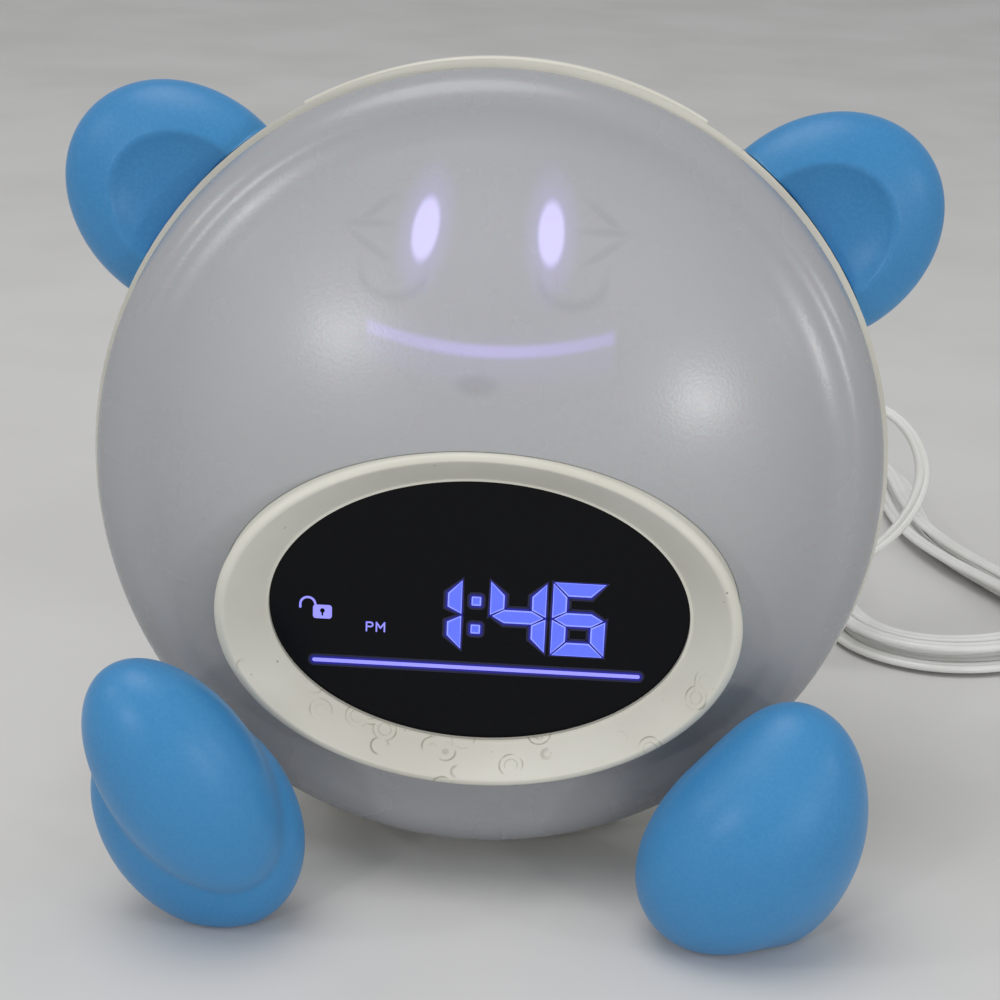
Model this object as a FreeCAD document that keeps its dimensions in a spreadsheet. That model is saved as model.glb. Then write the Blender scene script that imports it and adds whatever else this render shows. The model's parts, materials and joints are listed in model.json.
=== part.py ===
"""Kids alarm clock with night light: a frosted dome with a lit face and an oval display, in a round case.

Frame: +Z up, +X to the right of somebody who looks at the display, +Y to the back. The origin is on the
surface that the clock stands on, under the middle of its footprint. The case leans back, so its pieces are
modelled upright about the middle of the disc and tilted together. Front pieces lie at negative y there.
"""

import math
import os
import re

import FreeCAD
import Part
import Sketcher

Vector = FreeCAD.Vector
Rotation = FreeCAD.Rotation
Placement = FreeCAD.Placement

# Driving sizes in millimetres and degrees
SIZES = {
    # stance
    "lean": 8.0,
    "floor_gap": 2.5,
    "front_shift": 8.08,
    # frosted front
    "rim_radius": 80.0,
    "rim_depth": 4.0,
    "shoulder": 8.0,
    "crease_inset": 10.0,
    "dome_height": 17.0,
    "shell_wall": 2.0,
    "spigot_inset": 2.2,
    "spigot_wall": 2.0,
    "spigot_length": 3.5,
    "fit_gap": 0.35,
    # rear case
    "case_lip": 1.5,
    "case_band": 10.0,
    "case_round": 28.0,
    "case_wall": 2.2,
    # oval display frame
    "bezel_half_width": 52.0,
    "bezel_half_height": 35.0,
    "bezel_front": 27.0,
    "bezel_drop": 26.3,
    "bezel_tilt": 5.0,
    "bezel_wall": 1.6,
    "bezel_lip": 1.5,
    "bezel_edge": 0.7,
    "bezel_gap": 0.12,
    "bezel_land": 0.6,
    "bezel_length": 34.0,
    "funnel_depth": 6.5,
    "display_half_width": 42.0,
    "display_half_height": 27.5,
    "aperture_wall": 1.2,
    "window_margin": 1.5,
    "window_thickness": 1.5,
    "lcd_width": 74.0,
    "lcd_height": 42.0,
    "lcd_thickness": 2.2,
    "backlight_thickness": 3.0,
    "carrier_thickness": 2.0,
    "post_radius": 2.5,
    "post_half_spacing": 30.0,
    # face light behind the dome
    "mask_inset": 14.0,
    "mask_bottom": 12.5,
    "mask_gap": 0.5,
    "mask_thickness": 1.2,
    "eye_spacing": 24.0,
    "eye_height": 49.9,
    "eye_half_width": 2.4,
    "eye_half_height": 6.0,
    "eyes_shift": 1.4,
    "smile_half_width": 23.4,
    "smile_low": 27.8,
    "smile_rise": 3.4,
    "smile_thickness": 2.3,
    "lid_spacing": 34.4,
    "lid_height": 37.4,
    "lid_radius": 8.0,
    "lid_half_width": 6.5,
    "lash_reach": 28.0,
    "lash_length": 6.5,
    "slit": 1.2,
    "mouth_height": 21.3,
    "mouth_half_width": 3.8,
    "mouth_half_height": 1.9,
    "baffle_half_width": 31.0,
    "baffle_bottom": 18.0,
    "baffle_top": 60.0,
    "baffle_wall": 2.0,
    "baffle_shelf": 35.0,
    "board_thickness": 1.6,
    "face_board_back": 1.9,
    "led_width": 3.5,
    "led_height": 2.8,
    "led_depth": 1.9,
    "plate_front": 0.3,
    "plate_thickness": 2.0,
    "plate_boss_radius": 4.0,
    "night_leds": 12.0,
    "night_led_inset": 9.0,
    # snooze bar
    "snooze_half_width": 41.0,
    "snooze_proud": 2.0,
    "snooze_front": 4.5,
    "snooze_back": 25.0,
    "snooze_depth": 9.5,
    "snooze_board_drop": 14.0,
    "snooze_travel": 1.5,
    "switch_half_spacing": 14.0,
    "switch_size": 6.0,
    "switch_height": 3.5,
    "switch_stem": 0.9,
    # rear controls
    "button_length": 11.0,
    "button_width": 6.5,
    "button_proud": 1.2,
    "button_flange": 1.0,
    "button_column": 33.0,
    "button_top": 32.0,
    "button_pitch": 13.0,
    "button_board_front": 26.0,
    "button_board_low": -4.2,
    "button_board_height": 48.2,
    "board_post_radius": 2.0,
    "jack_board_across": 31.0,
    "jack_board_low": -28.0,
    "slider_length": 5.0,
    "slider_width": 3.4,
    "slider_height": 1.5,
    "slider_travel": 3.0,
    "slider_proud": 1.4,
    # power
    "door_width": 60.0,
    "door_height": 38.0,
    "door_top": -4.0,
    "door_ledge": 2.0,
    "tab_width": 16.0,
    "tab_height": 8.0,
    "tray_wall": 1.5,
    "tray_depth": 17.5,
    "cell_radius": 7.1,
    "cell_length": 50.0,
    "cell_pitch": 15.6,
    "jack_across": 40.0,
    "jack_drop": 22.0,
    "jack_radius": 4.4,
    "jack_bore": 2.8,
    # sound
    "speaker_radius": 17.5,
    "speaker_height": 26.0,
    "grille_hole": 1.0,
    "grille_pitch": 4.4,
    "grille_rings": 3.0,
    # fasteners
    "screw_radius": 1.5,
    "screw_head_radius": 3.0,
    "screw_head": 2.0,
    "boss_radius": 4.6,
    # ears
    "ear_angle": 38.0,
    "ear_reach": 0.5,
    "ear_half_width": 22.3,
    "ear_half_height": 26.5,
    "ear_half_depth": 10.0,
    "ear_back": 9.0,
    "dish_inset": 1.5,
    "dish_half_width": 17.0,
    "dish_half_height": 20.0,
    "dish_half_depth": 9.0,
    "dish_front": 4.0,
    "peg_radius": 4.0,
    "peg_root": 5.0,
    "peg_length": 8.0,
    "peg_back": 12.0,
    # feet
    "toe_inset_left": 2.3,
    "toe_front_left": 48.5,
    "toe_height_left": 34.7,
    "toe_half_width_left": 15.6,
    "toe_half_depth_left": 13.0,
    "toe_half_height_left": 26.6,
    "toe_tilt_left": 31.8,
    "heel_inset_left": 4.0,
    "heel_front_left": 43.6,
    "heel_height_left": 23.0,
    "heel_half_width_left": 19.8,
    "heel_half_depth_left": 12.0,
    "heel_half_height_left": 25.6,
    "heel_tilt_left": 26.9,
    "toe_inset_right": 2.3,
    "toe_front_right": 42.5,
    "toe_height_right": 21.9,
    "toe_half_width_right": 18.3,
    "toe_half_depth_right": 14.0,
    "toe_half_height_right": 24.1,
    "toe_tilt_right": 41.5,
    "heel_inset_right": -5.1,
    "heel_front_right": 37.0,
    "heel_height_right": 24.6,
    "heel_half_width_right": 15.3,
    "heel_half_depth_right": 12.0,
    "heel_half_height_right": 26.5,
    "heel_tilt_right": 1.0,
    "swivel_share": 0.7,
    "swivel_front": 37.0,
    "swivel_eye_radius": 5.0,
    "swivel_eye_height": 9.0,
    "swivel_pin_radius": 2.0,
    "swivel_pin_length": 22.0,
    "arm_radius": 3.1,
    "saddle_gap": 0.2,
    "saddle_front": 2.0,
    "saddle_depth": 10.0,
    "saddle_width": 14.0,
    # rear stand
    "stand_width": 64.0,
    "stand_front": 2.0,
    "stand_depth": 21.0,
    "pad_radius": 3.6,
    "pad_thickness": 2.0,
    "pad_recess": 0.8,
    # two-core lead: a strand pair, taken as round
    "lead_diameter": 4.0,
    "hank_across": 106.0,
    "hank_back": 170.0,
    "hank_turn": -74.4,
    "hank_half_length": 76.0,
    "hank_half_width": 30.0,
    "hank_waist": 0.75,
    "hank_pitch": 4.7,
    "hank_loops": 4.0,
    "hank_start": 140.0,
    "plug_radius": 4.8,
    "plug_length": 16.0,
    "plug_barrel": 2.7,
    "barrel_length": 8.0,
    "relief_length": 8.0,
    "adapter_length": 40.0,
    "adapter_width": 30.0,
    "adapter_height": 26.0,
    "adapter_across": -24.0,
    "adapter_back": 172.0,
    "blade_half_spacing": 6.35,
    "blade_length": 16.0,
    "blade_width": 6.4,
    "blade_thickness": 1.5,
    "lead_start": 20.0,
    "lead_entry": 24.0,
    "lead_leave": 22.0,
    "hank_bulge": 1.9,
    "hank_clearance": 0.1,
    "main_board_half_width": 44.0,
    "main_board_low": -50.0,
    "standoff_length": 5.7,
    "standoff_across": 40.0,
    "plate_boss_length": 14.0,
    "door_floor": 1.7,
}

# The free lead, point by point, from the plug to the hank and from the hank to the adapter. Its ends are
# worked out from the plug, the hank and the adapter.
LEAD_ROUTE = [
    (50, 102, 55),
    (68, 115, 63),
    (88, 117, 66),
    (104, 113, 61),
    (110, 104, 49),
    (102, 94, 36),
    (85, 90, 25),
    (66, 93, 13),
    (46, 104, 4),
    (40, 127, 2.2),
    (46, 151, 2.2),
    (57, 171, 2.2),
]
TAIL_ROUTE = [
    (37, 255, 4),
    (13, 258, 2.2),
    (-10, 246, 4),
]

# Sizes that follow from the driving ones
TIED = {
    "crease_radius": "rim_radius - crease_inset",
    "spigot_radius": "rim_radius - spigot_inset",
    "case_radius": "rim_radius + case_lip",
    "centre_height": "case_radius + floor_gap",
    "mask_radius": "rim_radius - mask_inset",
    "night_led_radius": "rim_radius - night_led_inset",
    "snooze_floor": "case_radius - snooze_depth",
    "snooze_board_height": "snooze_floor - snooze_board_drop",
    "ear_centre": "case_radius + ear_reach",
    "dish_centre": "case_radius - dish_inset",
    "swivel_across": "swivel_share * case_radius",
    "swivel_height": "centre_height - swivel_across",
}
WORD = r"[a-z]\w+"

DOME_SPHERE = "((crease_radius^2 + dome_height^2) / (2 * dome_height))"
APEX = "(rim_depth + shoulder + dome_height)"
CASE_DEPTH = "(case_band + case_round)"
BACK_RADIUS = "(case_radius - case_round)"
WINDOW_FRONT = "(funnel_depth + aperture_wall)"
WINDOW_BACK = "(funnel_depth + aperture_wall + window_thickness)"

doc = FreeCAD.newDocument("clock")
sheet = doc.addObject("Spreadsheet::Sheet", "Sizes")


def fill_sheet():
    for row, (alias, size) in enumerate(SIZES.items(), start=1):
        sheet.set(f"A{row}", alias)
        sheet.set(f"B{row}", str(size))
        sheet.setAlias(f"B{row}", alias)
    doc.recompute()


def spell_out(word):
    """A tied size as what it follows from, a driving size as its cell, and any other word as it is."""
    name = word[0]
    if name in TIED:
        return f"({bound(TIED[name])})"
    return f"Sizes.{name}" if name in SIZES else name


def bound(text):
    """The sheet's form of an expression that names driving or tied sizes."""
    return re.sub(WORD, spell_out, str(text))


def num(text):
    """The present value of such an expression."""
    return float(sheet.evalExpression(bound(text)))


def vec(*texts):
    return Vector(*[num(text) for text in texts])


fill_sheet()

UPRIGHT = Placement()
BODY = Placement(vec("0", "front_shift", "centre_height"), Rotation(Vector(1, 0, 0), -num("lean")))
FLOOR = Placement(vec("0", "front_shift", "0"), Rotation())
DISPLAY = Placement(vec("0", "-bezel_front", "-bezel_drop"), Rotation(Vector(1, 0, 0), num("bezel_tilt")))
TO_AXIS = {
    "x": Rotation(Vector(0, 0, 1), Vector(1, 0, 0)),
    "y": Rotation(Vector(0, 0, 1), Vector(0, 1, 0)),
    "z": Rotation(),
}
RIGHT = 1
LEFT = -1

nodes = {}


def keep(name, item, frame):
    """Makes an object a sub-part of the clock, in its place."""
    item.Label = name
    item.Placement = frame.multiply(item.Placement)
    nodes[name] = item
    return item


# Building blocks


def box(name, low, size, frame=UPRIGHT):
    item = doc.addObject("Part::Box", name)
    for side, text in zip(("Length", "Width", "Height"), size):
        item.setExpression(side, bound(text))
    item.Placement = frame.multiply(Placement(vec(*low), Rotation()))
    return item


def rod(name, radius, length, start, axis="y", frame=UPRIGHT):
    """A cylinder from start along an axis, given by its letter or as a rotation from Z."""
    item = doc.addObject("Part::Cylinder", name)
    item.setExpression("Radius", bound(radius))
    item.setExpression("Height", bound(length))
    turn = TO_AXIS[axis] if isinstance(axis, str) else axis
    item.Placement = frame.multiply(Placement(vec(*start), turn))
    return item


def ball(name, halves, middle, turn=Rotation(), frame=UPRIGHT):
    """An ellipsoid with its half axes along x, y and z before it is turned."""
    item = doc.addObject("Part::Ellipsoid", name)
    for radius, text in zip(("Radius2", "Radius3", "Radius1"), halves):
        item.setExpression(radius, bound(text))
    item.Angle1, item.Angle2, item.Angle3 = -90, 90, 360
    item.Placement = frame.multiply(Placement(middle, turn))
    return item


def oval(name, sections, frame=DISPLAY):
    """A straight-sided solid through ovals: each a depth behind the frame's plane and two half axes."""
    ovals = []
    for depth, half_width, half_height in sections:
        ring = doc.addObject("Part::Ellipse", f"{name}_oval")
        ring.setExpression("MajorRadius", bound(half_width))
        ring.setExpression("MinorRadius", bound(half_height))
        ring.Placement = frame.multiply(Placement(vec("0", depth, "0"), Rotation(Vector(1, 0, 0), 90)))
        ovals.append(ring)
    item = doc.addObject("Part::Loft", name)
    item.Sections = ovals
    item.Solid = True
    item.Ruled = True
    return item


def fuse(name, items):
    item = doc.addObject("Part::MultiFuse", name)
    item.Shapes = items
    item.Refine = True
    return item


def group(name, items):
    """Separate solids that share one node."""
    item = doc.addObject("Part::Compound", name)
    item.Links = items
    return item


def cut(name, base, tools):
    item = doc.addObject("Part::Cut", name)
    item.Base = base
    item.Tool = tools[0] if len(tools) == 1 else fuse(f"{name}_tools", tools)
    item.Refine = True
    return item


def common(name, base, tool):
    item = doc.addObject("Part::Common", name)
    item.Base = base
    item.Tool = tool
    return item


def sketch_on(body, role, name, offset="0"):
    plane = next(f for f in body.Origin.OriginFeatures if f.Role == role)
    sketch = body.newObject("Sketcher::SketchObject", name)
    sketch.AttachmentSupport = [(plane, "")]
    sketch.MapMode = "FlatFace"
    sketch.AttachmentOffset = Placement(vec("0", "0", offset), Rotation())
    return sketch


def outline(sketch, corners):
    """A closed outline. A corner is (x, y), or (x, y, radius, turn) when an arc leads on from it: turn is 1
    for an arc to the left of its way, -1 for one to the right."""
    ends = [vec(corner[0], corner[1], "0") for corner in corners]
    starts = []
    stops = []
    for index, corner in enumerate(corners):
        here, there = ends[index], ends[(index + 1) % len(ends)]
        if len(corner) == 2:
            sketch.addGeometry(Part.LineSegment(here, there), False)
            starts.append(1)
            stops.append(2)
            continue
        radius, turn = num(corner[2]), corner[3]
        way = there - here
        rise = radius - math.sqrt(max(radius**2 - (way.Length / 2) ** 2, 0.0))
        crown = (here + there) / 2 + Vector(way.y, -way.x, 0).normalize() * rise * turn
        run = (here, crown, there) if turn > 0 else (there, crown, here)
        sketch.addGeometry(Part.Arc(*run), False)
        starts.append(1 if turn > 0 else 2)
        stops.append(2 if turn > 0 else 1)
    for index in range(len(corners)):
        after = (index + 1) % len(corners)
        sketch.addConstraint(Sketcher.Constraint("Coincident", index, stops[index], after, starts[after]))
    for index, corner in enumerate(corners):
        for kind, text, size in (("DistanceX", corner[0], ends[index].x), ("DistanceY", corner[1], ends[index].y)):
            rule = sketch.addConstraint(Sketcher.Constraint(kind, -1, 1, index, starts[index], size))
            sketch.setExpression(f"Constraints[{rule}]", bound(text))
        if len(corner) > 2:
            rule = sketch.addConstraint(Sketcher.Constraint("Radius", index, num(corner[2])))
            sketch.setExpression(f"Constraints[{rule}]", bound(corner[2]))


def turned(name, corners):
    """A solid turned about the disc's axis, from corners given as radius and y."""
    body = doc.addObject("PartDesign::Body", name)
    sketch = sketch_on(body, "XY_Plane", f"{name}_profile")
    outline(sketch, corners)
    turn = body.newObject("PartDesign::Revolution", f"{name}_turn")
    turn.Profile = sketch
    turn.ReferenceAxis = (sketch, ["V_Axis"])
    turn.Angle = 360
    return body


def padded(name, corners, length, role="XZ_Plane", offset="0"):
    """A solid made by padding an outline. On the XZ plane the pad runs to the front, towards -y."""
    body = doc.addObject("PartDesign::Body", name)
    sketch = sketch_on(body, role, f"{name}_profile", offset)
    outline(sketch, corners)
    pad = body.newObject("PartDesign::Pad", f"{name}_pad")
    pad.Profile = sketch
    pad.setExpression("Length", bound(length))
    return body


def pill(across, up, length, width):
    """The outline of a slot with round ends, about a middle. Each end is two quarter arcs."""
    flat = f"({length} - {width}) / 2"
    half = f"({width}) / 2"
    return [
        (f"{across} - {flat}", f"{up} - {half}"),
        (f"{across} + {flat}", f"{up} - {half}", half, 1),
        (f"{across} + {flat} + {half}", up, half, 1),
        (f"{across} + {flat}", f"{up} + {half}"),
        (f"{across} - {flat}", f"{up} + {half}", half, 1),
        (f"{across} - {flat} - {half}", up, half, 1),
    ]


def screw(name, start, axis, length, frame=UPRIGHT):
    """A pan-head screw whose head starts at start and whose shank runs on along the axis."""
    turn = TO_AXIS[axis] if isinstance(axis, str) else axis
    way = turn.multVec(Vector(0, 0, 1))
    neck = vec(*start) + way * num("screw_head")
    head = rod(f"{name}_head", "screw_head_radius", "screw_head", start, turn, frame)
    shank = rod(f"{name}_shank", "screw_radius", length, (neck.x, neck.y, neck.z), turn, frame)
    return fuse(name, [head, shank])


# Frosted front


def front_diffuser():
    """A moulded dome with a straight rim, a round shoulder and a spigot that plugs into the case."""
    shell = turned(
        "diffuser_shell",
        [
            ("0", f"-{APEX}", DOME_SPHERE, 1),
            ("crease_radius", "-(rim_depth + shoulder)"),
            ("rim_radius - shoulder", "-(rim_depth + shoulder)", "shoulder", 1),
            ("rim_radius", "-rim_depth"),
            ("rim_radius", "0"),
            ("spigot_radius", "0"),
            ("spigot_radius", "spigot_length"),
            ("spigot_radius - spigot_wall", "spigot_length"),
            ("spigot_radius - spigot_wall", "-rim_depth / 4"),
            ("rim_radius - shell_wall", "-rim_depth", "shoulder - shell_wall", -1),
            ("rim_radius - shoulder", "-(rim_depth + shoulder - shell_wall)"),
            ("crease_radius", "-(rim_depth + shoulder - shell_wall)", DOME_SPHERE, -1),
            ("0", f"-({APEX} - shell_wall)"),
        ],
    )
    gap = ("bezel_half_width + bezel_gap", "bezel_half_height + bezel_gap")
    hole = oval("diffuser_hole", [("-rim_depth", *gap), ("bezel_length", *gap)])
    keep("front_diffuser", cut("front_diffuser", shell, [hole]), BODY)


def display_bezel():
    """The oval funnel round the display: lip, slope, aperture, window seat and a tube back to the plate."""
    outer = ("bezel_half_width", "bezel_half_height")
    eased = ("bezel_half_width - bezel_edge", "bezel_half_height - bezel_edge")
    mouth = ("bezel_half_width - bezel_lip", "bezel_half_height - bezel_lip")
    sight = ("display_half_width", "display_half_height")
    land = ("display_half_width + bezel_land", "display_half_height + bezel_land")
    seat = ("display_half_width + window_margin", "display_half_height + window_margin")
    bore = ("bezel_half_width - bezel_wall", "bezel_half_height - bezel_wall")
    blank = oval("bezel_blank", [("0", *eased), ("bezel_edge", *outer), ("bezel_length", *outer)])
    funnel = oval("bezel_funnel", [("0", *mouth), ("funnel_depth", *land)])
    aperture = oval("bezel_aperture", [("funnel_depth", *sight), (WINDOW_FRONT, *sight)])
    pocket = oval("bezel_pocket", [(WINDOW_FRONT, *seat), (WINDOW_BACK, *seat)])
    tube = oval("bezel_tube", [(WINDOW_BACK, *bore), ("bezel_length", *bore)])
    behind = box(
        "bezel_behind",
        ("-rim_radius", "plate_front", "-rim_radius"),
        ("2 * rim_radius", "bezel_length", "2 * rim_radius"),
    )
    keep("display_bezel", cut("display_bezel", blank, [funnel, aperture, pocket, tube, behind]), BODY)


def display_window():
    seat = ("display_half_width + window_margin", "display_half_height + window_margin")
    plate = oval("display_window", [(WINDOW_FRONT, *seat), (WINDOW_BACK, *seat)])
    keep("display_window", plate, BODY)


def display_stack():
    """LCD glass, backlight and the carrier whose posts stand on the reflector plate."""
    glass_back = f"({WINDOW_BACK} + lcd_thickness)"
    light_back = f"({glass_back} + backlight_thickness)"
    carrier_back = f"({light_back} + carrier_thickness)"
    glass = box(
        "lcd_glass",
        ("-lcd_width / 2", WINDOW_BACK, "-lcd_height / 2"),
        ("lcd_width", "lcd_thickness", "lcd_height"),
        DISPLAY,
    )
    keep("lcd_glass", glass, BODY)
    light = box(
        "lcd_backlight",
        ("-lcd_width / 2 + 1", glass_back, "-lcd_height / 2 + 1"),
        ("lcd_width - 2", "backlight_thickness", "lcd_height - 2"),
        DISPLAY,
    )
    keep("lcd_backlight", light, BODY)
    across = "bezel_half_width - bezel_wall - fit_gap"
    up = "bezel_half_height - bezel_wall - fit_gap"
    plate = oval("carrier_plate", [(light_back, across, up), (carrier_back, across, up)])
    posts = [
        rod(
            "carrier_post",
            "post_radius",
            "bezel_length",
            (f"{side} * post_half_spacing", light_back, f"{row} * post_half_spacing / 2"),
            "y",
            DISPLAY,
        )
        for side in (LEFT, RIGHT)
        for row in (LEFT, RIGHT)
    ]
    behind = box(
        "carrier_behind",
        ("-rim_radius", "plate_front", "-rim_radius"),
        ("2 * rim_radius", "bezel_length * 2", "2 * rim_radius"),
    )
    whole = fuse("carrier_whole", [plate, *posts])
    keep("lcd_carrier", cut("lcd_carrier", whole, [behind]), BODY)


# Face light


def arc_slit(name, middle_x, low, radius, half_width):
    """A slit that follows the lower arc of a circle, as wide as the given half width."""
    reach = "rim_radius"
    front = "-rim_radius / 2"
    ring = cut(
        f"{name}_ring",
        rod(f"{name}_outer", radius, reach, (middle_x, front, f"{low} + {radius}")),
        [rod(f"{name}_inner", f"{radius} - slit", reach, (middle_x, front, f"{low} + {radius}"))],
    )
    limit = box(
        f"{name}_limit",
        (f"{middle_x} - {half_width}", front, f"{low} - slit"),
        (f"2 * {half_width}", reach, "mask_radius / 3"),
    )
    return common(name, ring, limit)


def face_mask():
    """A white shell that lies behind the dome, with the lit and unlit features of the face cut through it."""
    sag = f"({DOME_SPHERE} - sqrt({DOME_SPHERE}^2 - mask_radius^2))"
    front = f"({APEX} - shell_wall - mask_gap)"
    shell = turned(
        "mask_shell",
        [
            ("0", f"-{front}", DOME_SPHERE, 1),
            ("mask_radius", f"-{front} + {sag}"),
            ("mask_radius", f"-{front} + {sag} + mask_thickness", DOME_SPHERE, -1),
            ("0", f"-{front} + mask_thickness"),
        ],
    )
    below = box(
        "mask_below",
        ("-rim_radius", "-rim_radius", "mask_bottom - 2 * rim_radius"),
        ("2 * rim_radius", "2 * rim_radius", "2 * rim_radius"),
    )
    depth = "rim_radius"
    start = "-rim_radius / 2"
    tools = [below]
    smile_radius = "((smile_half_width^2 + smile_rise^2) / (2 * smile_rise))"
    smile = arc_slit("smile", "0", "smile_low - smile_thickness / 2", smile_radius, "smile_half_width")
    tools.append(smile)
    for side in (LEFT, RIGHT):
        eye_x = f"{side} * eye_spacing / 2 - eyes_shift"
        eye = oval(
            "eye",
            [
                (start, "eye_half_height", "eye_half_width"),
                (depth, "eye_half_height", "eye_half_width"),
            ],
            Placement(vec(eye_x, "0", "eye_height"), Rotation(Vector(0, 1, 0), 90)),
        )
        tools.append(eye)
        lid_x = f"({side} * lid_spacing / 2 - eyes_shift)"
        tools.append(arc_slit("lid", lid_x, "lid_height - slit", "lid_radius", "lid_half_width"))
        for tip in (-1, 0, 1):
            slant = Rotation(Vector(0, 1, 0), -side * tip * num("lean") * 4)
            place = vec(f"{side} * lash_reach - eyes_shift", start, f"eye_height + {tip} * lash_length * 0.9")
            lash = box(
                "lash",
                ("-lash_length / 2", "0", "-slit / 2"),
                ("lash_length", depth, "slit"),
                Placement(place, slant),
            )
            tools.append(lash)
    mouth = oval(
        "mouth",
        [(start, "mouth_half_width", "mouth_half_height"), (depth, "mouth_half_width", "mouth_half_height")],
        Placement(vec("-eyes_shift", "0", "mouth_height"), Rotation()),
    )
    tools.append(mouth)
    keep("face_mask", cut("face_mask", shell, tools), BODY)


def light_baffle():
    """Cells that keep each light to its own feature. The front follows the back of the mask."""
    front = f"({APEX} - shell_wall - mask_gap - mask_thickness - 0.2)"
    block = box(
        "baffle_block",
        ("-baffle_half_width", f"-{APEX}", "baffle_bottom"),
        ("2 * baffle_half_width", f"{APEX} - face_board_back - board_thickness", "baffle_top - baffle_bottom"),
    )
    globe = doc.addObject("Part::Sphere", "baffle_globe")
    globe.setExpression("Radius", bound(DOME_SPHERE))
    globe.Placement.Base = vec("0", f"{DOME_SPHERE} - {front}", "0")
    shaped = common("baffle_shaped", block, globe)
    deep = f"{APEX} * 2"
    room = "baffle_half_width - 1.5 * baffle_wall"
    tall = "baffle_top - baffle_shelf - 1.5 * baffle_wall"
    cell_low = "baffle_shelf + baffle_wall / 2"
    cells = [
        box("cell_left", ("-baffle_half_width + baffle_wall", f"-{APEX}", cell_low), (room, deep, tall)),
        box("cell_right", ("baffle_wall / 2", f"-{APEX}", cell_low), (room, deep, tall)),
        box(
            "cell_low",
            ("-baffle_half_width + baffle_wall", f"-{APEX}", "baffle_bottom + baffle_wall"),
            ("2 * (baffle_half_width - baffle_wall)", deep, "baffle_shelf - baffle_bottom - 1.5 * baffle_wall"),
        ),
    ]
    keep("light_baffle", cut("light_baffle", shaped, cells), BODY)


def face_board():
    board = box(
        "face_board",
        ("-baffle_half_width", "-(face_board_back + board_thickness)", "baffle_bottom"),
        ("2 * baffle_half_width", "board_thickness", "baffle_top - baffle_bottom"),
    )
    keep("face_board", board, BODY)


def face_leds():
    eyes = [(f"{side} * eye_spacing / 2 - eyes_shift", "eye_height") for side in (LEFT, RIGHT)]
    lids = [(f"{side} * lid_spacing / 2 - eyes_shift", "lid_height + led_height / 2") for side in (LEFT, RIGHT)]
    smile = [(f"{step} * smile_half_width * 0.7", "smile_low") for step in (-1, 0, 1)]
    front = "-(face_board_back + board_thickness + led_depth)"
    lights = [
        box(
            "face_led",
            (f"{across} - led_width / 2", front, f"{up} - led_height / 2"),
            ("led_width", "led_depth", "led_height"),
        )
        for across, up in eyes + lids + smile
    ]
    keep("face_leds", group("face_leds", lights), BODY)


def plate_screw_places():
    """Where the four case screws run, as x and z on the disc."""
    return [("-17", "46"), ("17", "46"), ("-38", "-36"), ("38", "-36")]


def reflector_plate():
    """The white plate across the case: it throws the light forward and carries boards and display."""
    disc = rod(
        "plate_disc",
        "spigot_radius - spigot_wall - fit_gap",
        "plate_thickness",
        ("0", "plate_front", "0"),
    )
    parts = [disc]
    for side in (LEFT, RIGHT):
        for up in ("baffle_bottom + 6", "baffle_top - 6"):
            parts.append(
                rod(
                    "plate_stud",
                    "post_radius",
                    "plate_front + face_board_back",
                    (f"{side} * (baffle_half_width - 6)", "-face_board_back", up),
                )
            )
    holes = []
    back = "plate_front + plate_thickness"
    for across, up in plate_screw_places():
        parts.append(rod("plate_boss", "plate_boss_radius", "plate_boss_length", (across, back, up)))
        holes.append(rod("plate_hole", "screw_radius + 0.05", "plate_boss_length + 2", (across, back, up)))
    for side in (LEFT, RIGHT):
        for up in ("-44", "34"):
            foot = (f"{side} * standoff_across", back, up)
            parts.append(rod("plate_standoff", "post_radius", "standoff_length", foot))
    slot = box("plate_slot", ("-20", "0", "-32"), ("40", "plate_front + plate_thickness + 1", "8"))
    whole = fuse("plate_whole", parts)
    keep("reflector_plate", cut("reflector_plate", whole, [slot, *holes]), BODY)


def night_light_leds():
    lights = []
    count = int(num("night_leds"))
    for step in range(count):
        angle = 360 / count * (step + 0.5)
        turn = Placement(Vector(0, 0, 0), Rotation(Vector(0, 1, 0), angle))
        low = ("night_led_radius - led_height / 2", "plate_front - led_depth", "-led_width / 2")
        lights.append(box("night_led", low, ("led_height", "led_depth", "led_width"), turn))
    keep("night_light_leds", group("night_light_leds", lights), BODY)


# Rear case


def button_places():
    """Name, x and z of each rear button, seen from the front."""
    places = {}
    left_names = ("time_button", "alarm_button", "wake_button")
    right_names = ("nap_button", "plus_button", "minus_button")
    for column, names in ((LEFT, left_names), (RIGHT, right_names)):
        for row, name in enumerate(names):
            places[name] = (f"{column} * button_column", f"button_top - {row} * button_pitch")
    return places


def case_profile(proud="0", front="0"):
    """Corners of the case's outside, from the rim to the axis."""
    return [
        (f"case_radius + {proud}", front),
        (f"case_radius + {proud}", "case_band", f"case_round + {proud}", 1),
        (BACK_RADIUS, f"{CASE_DEPTH} + {proud}"),
        ("0", f"{CASE_DEPTH} + {proud}"),
    ]


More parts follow.
